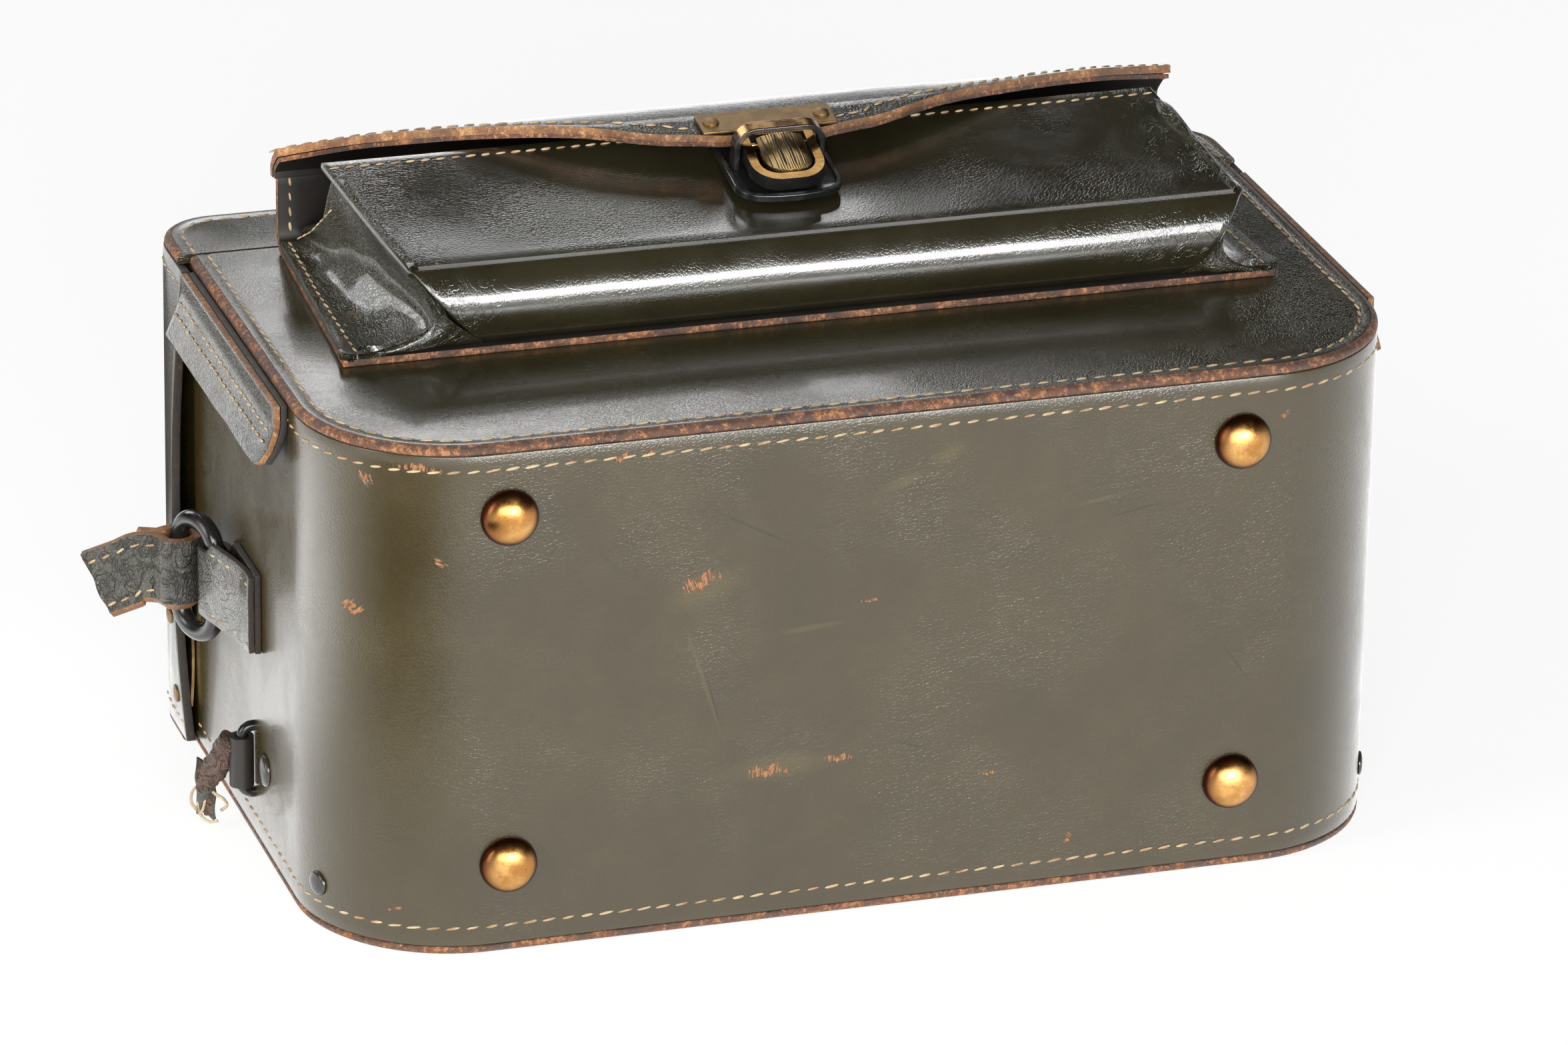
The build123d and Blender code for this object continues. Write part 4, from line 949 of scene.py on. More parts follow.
def buildPanel(name, outline, faceZ, sign, replaced, body):
    # rings of points step in from the cut edge, over its rounding and the valley of the seam
    rings = [[(x, y, faceZ + sign * height) for x, y in outline(inset)]
             for inset, height in panelShape["profile"]]
    mesh = bpy.data.meshes.new(name)
    shell = bmesh.new()
    made = [[shell.verts.new(at(*p)) for p in ring] for ring in rings]
    for k, (a, b) in enumerate(zip(made, made[1:])):
        for j in range(len(a) - 1):
            face = shell.faces.new((a[j], a[j + 1], b[j + 1], b[j]))
            face.material_index = 1 if k < panelShape["edgeFaces"] else 0
    shell.faces.new(made[-1])
    shell.faces.new(list(reversed(made[0])))
    shell.faces.new([row[0] for row in made] + [row[-1] for row in reversed(made)])
    bmesh.ops.recalc_face_normals(shell, faces=shell.faces)
    bmesh.ops.triangulate(shell, faces=[f for f in shell.faces if len(f.verts) > 4])
    shell.to_mesh(mesh)
    shell.free()
    mesh.materials.append(panelHideShadedCopy)
    mesh.materials.append(edgeHide)
    panel = addObject(name, mesh)
    return finishPiece(panel, body, replaced, slot="case_leather", smooth=50)


def frontOutline(inset):
    return caseOutline(lidLine, inset, 2.5)


def sewCase():
    sewFaces("case", caseOutline(lidLine - 3, wrapShape["panelStitch"], sewingStep))
    wall = caseOutline(wrapShape["sewnTo"], 0.0, sewingStep)
    normals = [(nx, ny, 0) for nx, ny in sideways(wall)]
    for z in (caseDepth - hide - wrapShape["frontStitch"], hide + wrapShape["backStitch"]):
        sew("case", [(x, y, z) for x, y in wall], normals)


buildWrap()
buildPanel("frontFace", frontOutline, caseDepth, 1, "front_panel", "case")
buildPanel("backFace", frontOutline, 0.0, -1, "back_panel", "case")
sewCase()
print("case body made")

# Lid
lidShape = {
    "clearance": 0.6, "low": 149.5, "top": 185.0, "radius": 16.0, "creaseGap": 1.2, "stitch": 5.0,
    "crown": 0.6, "flare": 3.4, "flareEnd": 167.0, "bow": 4.0, "sag": 0.5,
    "levels": 34, "wallStep": 2.45, "wallPoints": 8, "topSteps": 50,
}
lidHalf = caseHalf + lidShape["clearance"] + hide


def lidPath(z, inset=0.0):
    # (x, y) over the lid from its left wall to its right one; the walls flare towards the case
    shape = lidShape
    share = (z - caseDepth / 2) / (caseDepth / 2)
    bow = shape["bow"] * (1 - share * share)
    radius, top, low = shape["radius"] - inset, shape["top"] - inset, shape["low"]

    def flare(y):
        if y < shape["flareEnd"]:
            crown = shape["crown"] + shape["flare"] * (shape["flareEnd"] - y) / (shape["flareEnd"] - low)
        else:
            crown = shape["crown"] * (shape["top"] - y) / (shape["top"] - shape["flareEnd"])
        return min(crown, bow)

    half, steps = lidHalf - inset, shape["topSteps"]
    walls = [low + shape["wallStep"] * i for i in range(shape["wallPoints"])]
    line = [(-half, y) for y in walls]
    line += arcPoints((-half + radius, top - radius), radius, 180, 90, 10)
    line += [(-half + radius + (2 * half - 2 * radius) * i / steps, top) for i in range(1, steps)]
    line += arcPoints((half - radius, top - radius), radius, 90, 0, 10)
    line += [(half, y) for y in reversed(walls)]
    return [(x + math.copysign(flare(y), x) * min(1.0, abs(x) / (half - 4)) ** 8, y) for x, y in line]


def buildLidWrap():
    levels, sag = lidShape["levels"], lidShape["sag"]
    rows = []
    for i in range(levels + 1):
        z = hide + (caseDepth - 2 * hide) * i / levels
        row = []
        for x, y in lidPath(z):
            drop = min(0.0, sag * wander(x, y, z, 60, 3.0) - sag) if y > lidShape["top"] - 1 else 0.0
            row.append((x, y + drop, z))
        rows.append(row)

    def wear(x, y, z):
        return 0.4 * max(0.0, 1 - min(z - hide, caseDepth - hide - z, y - 149) / 2.5)

    hideSheet("lidWrap", rows, hide, (0, 1, 0), "lid", ["lid_wrap"], faces=(panelHideShadedCopy, darkEdge),
              wear=wear)


def apronOutline(inset):
    half, radius = lidHalf - inset, lidShape["radius"] - inset
    low, top = lidLine + lidShape["creaseGap"], lidShape["top"] - inset
    line = [(-half, low), (-half, top - radius)]
    line += arcPoints((-half + radius, top - radius), radius, 180, 90, 10)[1:]
    line += [(half - radius, top)]
    line += arcPoints((half - radius, top - radius), radius, 90, 0, 10)[1:]
    line += [(half, low)]
    return spread(line, 2.5)


def sewLid():
    sewFaces("lid", [(x, y) for x, y in apronOutline(lidShape["stitch"]) if y > lidLine + 3])
    for z in (caseDepth - hide - wrapShape["frontStitch"], hide + wrapShape["backStitch"]):
        path = [(x, y) for x, y in lidPath(z) if y > wrapShape["tuckStart"]]
        sew("lid", [(x, y, z) for x, y in path], [(-nx, -ny, 0) for nx, ny in sideways(path)])


buildLidWrap()
buildPanel("lidApronFace", apronOutline, caseDepth, 1, "lid_apron", "lid")
buildPanel("lidBackFace", apronOutline, 0.0, -1, "lid_back", "lid")
sewLid()
print("lid made")

# Side flaps: two layers of hide that lean out from the seam over each end wall
sideFlap = {
    "start": 47.0, "end": 148.8, "layer": 1.95, "seat": 7.0, "width": 13.0, "lean": 22.0, "corner": 6.0,
    "rows": 44, "columns": 14, "curl": 0.6, "curlRun": 14, "layerGap": 0.05,
    "seamDrops": (2.6, 6.0), "seamOut": 4.0, "seamStart": 52, "seamPoints": 64,
}


def buildSideFlap(side, sign):
    shape = sideFlap
    lean = math.radians(shape["lean"])
    wall, top = caseHalf, caseDepth - hide
    elbow = (wall, top - shape["seat"])

    def wear(x, y, z):
        return 0.5 * max(0.0, 1 - (y - 47) / 6) + 0.25 * max(0.0, 1 - (z - 123) / 4)

    def slack(x, y, z):
        return 0.5 * max(0.0, 1 - (y - 47) / 30)

    layers = (("Under", (innerHide, darkEdge)), ("Upper", (slackHide, suedeEdge)))
    for layer, (name, faces) in enumerate(layers):
        out = (layer + 1) * (shape["layer"] + shape["layerGap"])
        rows = []
        for i in range(shape["rows"] + 1):
            y = shape["start"] + (shape["end"] - shape["start"]) * i / shape["rows"]
            near = y - shape["start"]
            width = shape["width"] - 0.5 * (1 - layer)
            if near < shape["corner"]:
                width -= shape["corner"] - math.sqrt(max(0.0, 2 * near * shape["corner"] - near ** 2))
            width += 0.35 * wander(0, y, 0, 18, layer)
            tip = (elbow[0] + width * math.sin(lean), elbow[1] - width * math.cos(lean))
            corners = [(wall + out, top), (elbow[0] + out, elbow[1] + 0.3),
                       (tip[0] + out * math.cos(lean), tip[1] + out * math.sin(lean))]
            curl = shape["curl"] * max(0.0, 1 - near / shape["curlRun"]) ** 2
            row = []
            for j, (x, z) in enumerate(even(softened(corners, 0.35), shape["columns"])):
                share = j / shape["columns"]
                wave = 0.35 * wander(x, y, z, 22, 5.0) * share
                row.append((sign * (x - curl * share ** 2 + min(0.0, wave)), y, z))
            rows.append(row)
        replaced = [f"side_flap_{side}"] if layer else []
        hideSheet(f"sideFlap{name}_{side}", rows, shape["layer"], (sign, 0, 0.3), "case", replaced,
                  faces=faces, wear=wear, slack=slack)
    leaning = (sign * math.cos(lean), 0, math.sin(lean))
    out = shape["seamOut"]
    for drop in shape["seamDrops"]:
        x = sign * (elbow[0] + drop * math.sin(lean) + out * math.cos(lean) + shape["layerGap"])
        z = elbow[1] - drop * math.cos(lean) + out * math.sin(lean)
        row = [(x, shape["seamStart"] + sewingStep * i, z) for i in range(shape["seamPoints"])]
        sew("case", row, leaning, **stitchSizes["flap"])


for side, sign in (("left", -1), ("right", 1)):
    buildSideFlap(side, sign)
print("side flaps made")

# Pocket
pocket = {
    "leather": 2.2, "mouth": (120.0, 37.0), "crease": (63.5, 26.0), "belly": (58.3, 12.5),
    "base": (66.0, 2.2), "low": 62.5, "root": 153.4, "columns": 110, "dish": 1.3,
    "left": {"mouth": 122.0, "crease": 112.8, "fold": 103.5, "heel": 91.0, "sign": -1,
             "seam": [(124.2, 145), (126.3, 107), (127.5, 64)]},
    "right": {"mouth": 114.0, "crease": 120.5, "fold": 113.0, "heel": 104.0, "sign": 1,
              "seam": [(124.0, 145), (126.0, 107), (127.2, 64)]},
    "mouthSeam": {"left": -119, "run": 231, "y": 116.6, "sink": 0.45, "points": 150},
    "bead": {"start": 66.5, "end": 118.6, "steps": 30, "radius": 1.55, "in": 1.2, "waist": 1.1,
             "sink": 1.75, "dip": 0.5},
    "rimSeam": [(121.6, 143, 6.6), (120.6, 134, 11.6), (120.2, 127, 16.6), (119.6, 118, 23)],
    "back": {"half": 131, "taper": 5, "rise": 2.2, "bend": 4.2, "bendStart": 6.4, "wallTop": 21.5},
}


def onFront(height):
    return caseDepth + height


def slopeShare(y):
    # 0 at the pocket's crease, 1 at its mouth
    return (y - pocket["crease"][0]) / (pocket["mouth"][0] - pocket["crease"][0])


def frontHeight(y):
    (mouthY, mouthH), (creaseY, creaseH) = pocket["mouth"], pocket["crease"]
    return creaseH + (mouthH - creaseH) * (y - creaseY) / (mouthY - creaseY)


def frontLimit(end, y, height, upper):
    # how far the front reaches towards one end, at a place on its slope or below its crease
    shape = pocket[end]
    if upper:
        return shape["crease"] + (shape["mouth"] - shape["crease"]) * slopeShare(y)
    share = (height - pocket["base"][1]) / (pocket["crease"][1] - pocket["base"][1])
    return shape["heel"] + (shape["crease"] - shape["heel"]) * min(1.0, share) ** 0.85


def frontSection():
    # (y, height, on the slope) from the mouth over the crease down to the base
    mouth, crease, belly, base = (pocket[k] for k in ("mouth", "crease", "belly", "base"))
    upper = [lerp(mouth, crease, i / 22) for i in range(22)]
    pull = (2 * belly[0] - 0.5 * (crease[0] + base[0]), 2 * belly[1] - 0.5 * (crease[1] + base[1]))
    lower = [lerp(lerp(crease, pull, i / 16), lerp(pull, base, i / 16), i / 16) for i in range(17)]
    crown = softened([upper[-1], crease, lower[2]], 0.55, 4)[1:-1]
    line = [(y, h, True) for y, h in upper[:-1]]
    line += [(y, h, y > crease[0] - 0.3 and h > 24) for y, h in crown]
    return line + [(y, h, False) for y, h in lower[2:]]


def buildPocketFront():
    creaseY, creaseH = pocket["crease"]
    columns = pocket["columns"]
    rows = []
    for y, h, upper in frontSection():
        left, right = -frontLimit("left", y, h, upper), frontLimit("right", y, h, upper)
        share = slopeShare(y)
        row = []
        for j in range(columns + 1):
            t = j / columns
            x = left + (right - left) * t
            if upper:
                dish = -pocket["dish"] * math.sin(math.pi * t) ** 0.5 * math.sin(math.pi * share)
                ripple = 0.5 * wander(x, y, 0, 34, 1.0) * math.sin(math.pi * min(1.0, max(0.0, share)))
                row.append((x, y, onFront(h + dish + min(0.4, ripple) - 0.4)))
            else:
                puff = 0.5 * wander(x, 0, h, 30, 2.0) * math.sin(math.pi * min(1.0, h / 26))
                row.append((x, y + max(0.0, puff), onFront(h)))
        rows.append(row)

    def wear(x, y, z):
        ridge = math.exp(-((y - creaseY) ** 2 + (z - caseDepth - creaseH) ** 2) / 6)
        ends = 0.25 + 0.75 * max(0.0, abs(x + 2) - 85) / 30
        return 0.75 * ridge * ends + 0.5 * max(0.0, (y - 118) / 2)

    def slack(x, y, z):
        h = z - caseDepth
        corner = math.exp(-((abs(x + 2) - 102) ** 2) / 220) * math.exp(-((h - 10) ** 2) / 90)
        return 0.7 * corner if y < 70 else 0.25 * max(0.0, abs(x) - 95) / 25

    hideSheet("pocketFront", rows, pocket["leather"], (0, -0.3, 1), "case", ["pocket_front"],
              faces=(pocketHide, pocketHide), wear=wear, slack=slack)
    seam = pocket["mouthSeam"]
    z = onFront(frontHeight(seam["y"]) - seam["sink"])
    row = [(seam["left"] + seam["run"] * i / seam["points"], seam["y"], z)
           for i in range(seam["points"] + 1)]
    sew("case", row, (0, -0.19, 0.98), **stitchSizes["rim"])


def gussetStations(shape):
    # outer skin of a pocket end: flange edge, foot, fold and rim, from the heel round to the root
    fold, crease, mouth, heel = (shape[k] for k in ("fold", "crease", "mouth", "heel"))
    top = pocket["leather"] * 2

    def rim(y):
        return (crease + (mouth - crease) * slopeShare(y), y, frontHeight(y))

    rimX, rimY, rimH = rim(111)
    ridgeX = heel + 0.55 * (crease - heel)
    return [
        [(heel + 1, 65.5, 2.4), (heel + 1, 65, 2.8), (ridgeX, 58.9, 12.0), (crease, 63.5, 26)],
        [(118, 61.8, 3.6), (112, 60.6, 3.4), (fold, 60.3, 9.5), (crease + 0.2, 63.8, 26)],
        [(131, 62.5, top), (120.5, 61.5, top), (fold + 1.2, 63, 10), (crease + 0.3, 66, 26.4)],
        [(130.4, 72, top), (122.6, 72, top), (fold + 2, 72, 10.5), rim(72)],
        [(129.3, 92, top), (121.8, 92, top), ((fold + rimX) / 2 - 3, 92, 12.5), rim(92)],
        [(128.3, 111, top), (121.2, 111, top), (rimX - 8, 111, 13.5), (rimX, rimY, rimH)],
        [(127.4, 128, top), (121.0, 128, top), (116.6, 128, 8.5), (119.8, 128, 17)],
        [(126.4, 147, top), (120.9, 147, top), (119.4, 147, 5.4), (120.7, 147, 6.6)],
    ]


def betweenStations(before, a, b, after, t):
    # a smooth curve through the same point of four neighbouring stations
    return [0.5 * (2 * q1 + (q2 - q0) * t + (2 * q0 - 5 * q1 + 4 * q2 - q3) * t * t
                   + (3 * q1 - q0 - 3 * q2 + q3) * t ** 3)
            for q0, q1, q2, q3 in zip(before, a, b, after)]


def buildGusset(end):
    shape = pocket[end]
    sign = shape["sign"]
    stations = [even(softened(line, 0.32), 26) for line in gussetStations(shape)]
    rows = []
    for k, (a, b) in enumerate(zip(stations, stations[1:])):
        before = stations[max(k - 1, 0)]
        after = stations[min(k + 2, len(stations) - 1)]
        steps = 6 if k < 2 else 12
        for i in range(steps + (k == len(stations) - 2)):
            row = []
            for four in zip(before, a, b, after):
                x, y, h = betweenStations(*four, i / steps)
                loose = max(0.0, min(1.0, (h - 5) / 6)) * max(0.0, min(1.0, (150 - y) / 30))
                x += loose * 0.7 * wander(x, y, h, 16, 7.0 + sign)
                row.append((sign * x, y, onFront(h)))
            rows.append(row)

    def wear(x, y, z):
        h = z - caseDepth
        ridge = max(0.0, 1 - abs(y - 63.5) / 3) * max(0.0, (h - 14) / 12)
        tail = max(0.0, 1 - (y - 60) / 4) * max(0.0, (abs(x) - 112) / 18)
        return 0.7 * ridge + 0.6 * tail

    def slack(x, y, z):
        near = math.exp(-(y - 62) ** 2 / 500)
        return 0.35 + 0.6 * near * min(1.0, (z - caseDepth) / 6)

    hideSheet(f"pocketGusset_{end}", rows, pocket["leather"] - 0.05, (sign, 0, 0.4), "case",
              [f"pocket_gusset_{end}"], faces=(slackHide, slackHide), wear=wear, slack=slack)
    row = spread([(sign * x, y) for x, y in shape["seam"]], sewingStep)
    sew("case", [(x, y, onFront(4.35)) for x, y in row], (0, 0, 1), **stitchSizes["gusset"])


def buildBead(end):
    # the front's side edge is turned over into a soft roll
    sign, bead = pocket[end]["sign"], pocket["bead"]
    steps = bead["steps"]
    line, radii = [], []
    for i in range(steps + 1):
        t = i / steps
        y = bead["start"] + (bead["end"] - bead["start"]) * t
        waist = math.sin(math.pi * t)
        x = frontLimit(end, y, 0, True) - bead["in"] - bead["waist"] * waist
        line.append((sign * x, y, onFront(frontHeight(y) - bead["sink"] - bead["dip"] * waist)))
        radii.append(bead["radius"] * min(1.0, 0.45 + 6 * min(i, steps - i) / steps))
    mesh = tube(f"pocketBead_{end}", line, radii, rough=0.05)
    mesh.materials.append(pocketHide)
    finishPiece(addObject(f"pocketBead_{end}", mesh), "case", slot="case_leather", smooth=0)
    rim = spread(pocket["rimSeam"], 1.2)
    sew("case", [(sign * (x + 0.5), y, onFront(h)) for x, y, h in rim], (0.55 * sign, 0.45, 0.7),
        **stitchSizes["rim"])


def buildPocketBack():
    root, low, back = pocket["root"], pocket["low"], pocket["back"]
    rise, bendStart = back["rise"], back["bendStart"]
    path = spread([(low + 0.2, rise), (root - bendStart, rise)], 4)
    path += arcPoints((root - bendStart, bendStart), back["bend"], 270, 360, 6)[1:]
    path += spread([(root - rise, 6.6), (root - rise, back["wallTop"])], 2)[1:]
    rows = []
    for y, h in path:
        half = back["half"] - back["taper"] * min(1.0, (y - low) / (root - low))
        rows.append([((half - 0.15 * abs(wander(0, y, h, 9))) * (j / 20 - 1), y, onFront(h))
                     for j in range(41)])
    hideSheet("pocketBack", rows, 2.15, (0, -0.4, 1), "case", ["pocket_back"], faces=(innerHide, edgeHide))
    for sign in (-1, 1):
        sew("case", [(sign * 122.6, root - 2.3, onFront(7 + i)) for i in range(14)], (0, -1, 0),
            **stitchSizes["rim"])


buildPocketFront()
for end in ("left", "right"):
    buildGusset(end)
    buildBead(end)
buildPocketBack()
print("pocket made")

# Pocket flap
flap = {
    "half": 127.5, "side": 145.0, "sideRight": 141.0, "nose": 101.0, "noseHalf": 22.0, "noseX": -1.5,
    "leather": 2.2, "lining": 1.25,
    "tip": (101.0, 41.2), "seat": (112.5, 43.2), "crown": (127.5, 41.0), "shoulder": (147.5, 31.6),
    "root": [(151.6, 27.4), (153.4, 24.7), (153.4, 21.75)],
    "columns": 104, "curl": 0.9, "curlRun": 9, "seamInset": 3.4, "seamRise": 0.12, "seamGap": 21,
}


def flapSection():
    # (y, height) of the flap's outer side from its nose to the pocket's back wall
    tip, seat, crown, shoulder = (flap[k] for k in ("tip", "seat", "crown", "shoulder"))
    t = (crown[0] - seat[0]) / (shoulder[0] - seat[0])
    pull = tuple((c - (1 - t) ** 2 * s - t * t * e) / (2 * t * (1 - t))
                 for c, s, e in zip(crown, seat, shoulder))
    over = [lerp(lerp(seat, pull, i / 20), lerp(pull, shoulder, i / 20), i / 20) for i in range(21)]
    return [tip] + over + flap["root"]


def flapEdge(x):
    # y of the flap's free edge, from each end in to its nose
    half, nose = flap["half"], flap["nose"]
    noseLeft, noseRight = flap["noseX"] - flap["noseHalf"], flap["noseX"] + flap["noseHalf"]
    if x < noseLeft:
        y = flap["side"] + (nose - flap["side"]) * ((x + half) / (noseLeft + half))
    elif x > noseRight:
        y = flap["sideRight"] + (nose - flap["sideRight"]) * ((half - x) / (half - noseRight))
    else:
        y = nose
    for corner in (noseLeft, noseRight):
        y += 1.9 * math.exp(-((x - corner) / 6) ** 2)
    return y


def flapRows(drop, inset):
    # drop is how far under the outer side, inset how far the layer's edge is trimmed back
    section = flapSection()
    line = [(y + n[0] * drop, h + n[1] * drop) for (y, h), n in zip(section, sideways(section))]
    columns = flap["columns"]
    rows = []
    for i in range(columns + 1):
        x = (flap["half"] - inset) * (2 * i / columns - 1)
        edge = flapEdge(x) + inset
        tail = [p for p in line if p[0] > edge + 0.5]
        first = next(k for k, p in enumerate(line) if p[0] > edge)
        a, b = (line[first - 1], line[first]) if first else (line[0], line[1])
        start = lerp(a, b, (edge - a[0]) / (b[0] - a[0]))
        wall = [p for p in line if p[0] <= edge + 0.5 and p[1] < 25]
        sides = max(0.0, (abs(x) - 60) / 67.5)
        row = []
        for y, h in even([start] + tail + wall, 34):
            loose = min(1.0, max(0.0, (151 - y) / 20))
            lift = loose * (0.5 * wander(x, y, 0, 45, 11.0) + 0.35 * wander(x, y, 0, 18, 12.0) * sides - 0.45)
            curl = -flap["curl"] * max(0.0, 1 - (y - edge) / flap["curlRun"]) ** 2 * sides
            row.append((x, y, onFront(h + lift + curl)))
        rows.append(row)
    return rows


def sewFlapRow(points):
    if len(points) > 3:
        sew("flap", spread(points, sewingStep), (0, 0, 1), **stitchSizes["flap"])


def buildFlap():
    def wear(x, y, z):
        return 0.45 * max(0.0, 1 - (y - flapEdge(x)) / 2.5) + 0.3 * max(0.0, (x - 118) / 9)

    def slack(x, y, z):
        if z <= caseDepth + 26:
            return 0.2
        return 0.5 * max(0.0, 1 - abs(y - 138) / 12) * (0.4 + 0.6 * abs(x) / 127)

    rows = flapRows(0.0, 0.0)
    hideSheet("flapLeather", rows, flap["leather"], (0, 0, 1), "flap", ["pocket_flap"],
              faces=(slackHide, suedeEdge), wear=wear, slack=slack)
    hideSheet("flapLining", flapRows(flap["leather"] + 0.05, 0.35), flap["lining"], (0, 0, 1), "flap",
              ["flap_lining"], faces=(innerHide, edgeHide))
    points = []
    for row in rows:
        if abs(row[0][0] - flap["noseX"]) < flap["seamGap"]:
            # the lock's mounting plate interrupts the seam
            sewFlapRow(points)
            points = []
            continue
        x, y, z = next(p for p in row if math.dist(p, row[0]) > flap["seamInset"])
        points.append((x, y, z + flap["seamRise"]))
    sewFlapRow(points)


buildFlap()
print("flap made")

# Feet and rivets
domes = {
    "foot": {"radius": 7.8, "height": 5.4, "rim": 0.9},
    "wall_rivet": {"radius": 4.6, "height": 2.0, "rim": 0.5},
    "corner_rivet": {"radius": 3.4, "height": 1.3, "rim": 0.4},
}
headPlaces = {
    "footRows": {"front": 124.7, "back": 25.8}, "footSides": {"left": -103.0, "right": 99.2},
    "wallRivet": (73.5, 26.6), "cornerTurn": 20, "cornerRivetZ": 13.2,
}


def domeProfile(radius, height, rim, steps=12):
    line = [(radius - 0.25, 0.0), (radius, rim * 0.35), (radius - 0.08, rim)]
    for i in range(1, steps):
        turn = math.pi / 2 * i / steps
        line.append(((radius - 0.1) * math.cos(turn), rim + (height - rim) * math.sin(turn)))
    line.append((0.0, height))
    patina = [1.0, 1.0, 0.9] + [max(0.0, 0.95 - 1.1 * i / steps) for i in range(1, steps)] + [0.0]
    return line, patina


def buildDome(node, kind, body, place, material, slot):
    profile, patina = domeProfile(**domes[kind])
    mesh = turnedMesh(f"{node}Head", profile, place, 40, patina)
    mesh.materials.append(material)
    finishPiece(addObject(f"{node}Head", mesh), body, node, slot=slot, smooth=60)


def buildHeads():
    for row, z in headPlaces["footRows"].items():
        for side, x in headPlaces["footSides"].items():
            buildDome(f"foot_{row}_{side}", "foot", "case", axesAt((x, 0, z), (0, -1, 0)), footBrass,
                      "aged_brass")
    turn = math.radians(headPlaces["cornerTurn"])
    wallY, wallZ = headPlaces["wallRivet"]
    for side, sign in (("left", -1), ("right", 1)):
        place = axesAt((sign * caseHalf, wallY, wallZ), (sign, 0, 0), (0, 1, 0))
        buildDome(f"wall_rivet_{side}", "wall_rivet", "case", place, blackEnamel, "black_enamel")
        centre = sign * (caseHalf - cornerRadius)
        spot = (centre + sign * cornerRadius * math.cos(turn), cornerRadius * (1 - math.sin(turn)),
                headPlaces["cornerRivetZ"])
        place = axesAt(spot, (sign * math.cos(turn), -math.sin(turn), 0), (0, 0, 1))
        buildDome(f"corner_rivet_{side}", "corner_rivet", "case", place, blackEnamel, "black_enamel")


buildHeads()
print("feet and rivets made")

# Ring, staple and chape on each end wall
ringShape = {"wire": 2.6, "straight": 9.0, "bend": 7.4, "z": 67.4, "lean": 27.0, "eye": (-155.0, 108.5)}
ringLean = math.radians(ringShape["lean"])
ringOut = Vector((-math.sin(ringLean), math.cos(ringLean), 0))
ringEye = Vector((*ringShape["eye"], ringShape["z"]))
staple = {"bar": (-153.5, 86.5, 24.4), "half": 9.8, "bend": 3.0, "wire": 1.5}


def ringMesh(name, points, radius, sides=24):
    # closed wire: every section stands square to the line that its neighbours make
    cross = ringOut.cross(Vector((0, 0, 1)))
    rows = []
    for i, p in enumerate(points):
        along = (Vector(points[(i + 1) % len(points)]) - Vector(points[i - 1])).normalized()
        out = along.cross(cross)
        row = []
        for k in range(sides):
            turn = 2 * math.pi * k / sides
            row.append(tuple(Vector(p) + (out * math.cos(turn) + cross * math.sin(turn)) * radius))
        rows.append(row)
    mesh = gridMesh(name, rows, closedRow=True, closedColumn=True)
    pointOutwards(mesh)
    return mesh


def buildRing():
    bend, half = ringShape["bend"], ringShape["straight"]
    flat = arcPoints((bend, half), bend, 180, 0, 18) + arcPoints((bend, -half), bend, 0, -180, 18)
    flat = spread(flat + flat[:1], 2.5)[:-1]
    points = [tuple(ringEye + ringOut * x + Vector((0, 0, y))) for x, y in flat]
    mesh = ringMesh("ringWire", points, ringShape["wire"])
    for side, made in (("left", mesh), ("right", mirrorMesh(mesh, "ringWireRight"))):
        made.materials.append(blackEnamel)
        finishPiece(addObject(f"ringWire_{side}", made), f"ring_{side}", f"ring_{side}",
                    slot="black_enamel", smooth=0)


def buildStaple():
    (x, y, z), half, bend = staple["bar"], staple["half"], staple["bend"]
    foot = -(caseHalf - hide)
    line = [(foot, z - half)]
    line += arcPoints((x + bend, z - half + bend), bend, 270, 180, 6)
    line += arcPoints((x + bend, z + half - bend), bend, 180, 90, 6)
    line += [(foot, z + half)]
    points = [(px, y, pz) for px, pz in spread(line, 1.2)]
    mesh = tube("stapleWire", points, staple["wire"], 18, first=(0, 1, 0))
    for side, made in (("left", mesh), ("right", mirrorMesh(mesh, "stapleWireRight"))):
        made.materials.append(blackEnamel)
        finishPiece(addObject(f"stapleWire_{side}", made), "case", f"staple_{side}", slot="black_enamel")


chape = {
    "layer": 1.9, "eye": 2.9, "low": 59.0, "high": 82.0, "narrow": 3.8, "narrowFrom": 101,
    "root": 77.2, "bend": 104.0, "landing": (-153.2, 84.5), "end": 77.0, "columns": 14,
    "trimmed": 8, "trim": 0.5, "dipTop": 103, "seams": (61.6, 79.2),
}


def chapePath():
    # (x, y) of the strip's middle: up the wall, over the ring and back down to its sewn end
    layer = chape["layer"]
    wall = -caseHalf - layer / 2
    over = arcPoints(ringShape["eye"], chape["eye"] + layer / 2, 18, 196, 16)
    path = spread(softened([(wall, chape["root"]), (wall, chape["bend"]), over[0]], 0.3), 1.4) + over[1:]
    down = [over[-1], chape["landing"], (-caseHalf - 1.5 * layer, chape["end"])]
    return path + spread(softened(down, 0.4), 1.4)[1:]


def chapeRows(path, sign):
    rows = []
    start = len(path) - 1 - chape["trimmed"]
    for i, (x, y) in enumerate(path):
        share = min(1.0, max(0.0, (y - chape["narrowFrom"]) / 4))
        low, high = chape["low"], chape["high"] - chape["narrow"] * share
        if i > start:
            trim = chape["trim"] * ((i - start) / chape["trimmed"]) ** 3
            low, high = low + trim, high - trim
        row = []
        for j in range(chape["columns"] + 1):
            t = j / chape["columns"]
            z = low + (high - low) * t
            dip = 0.25 * (2 * abs(t - 0.5)) ** 6 + 0.15 * wander(x, y, z, 7, 3.0)
            dip *= min(1.0, max(0.0, (chape["dipTop"] - y) / 6)) if i > len(path) / 2 else 0.0
            row.append((-sign * (x + dip), y, z))
        rows.append(row)
    return rows


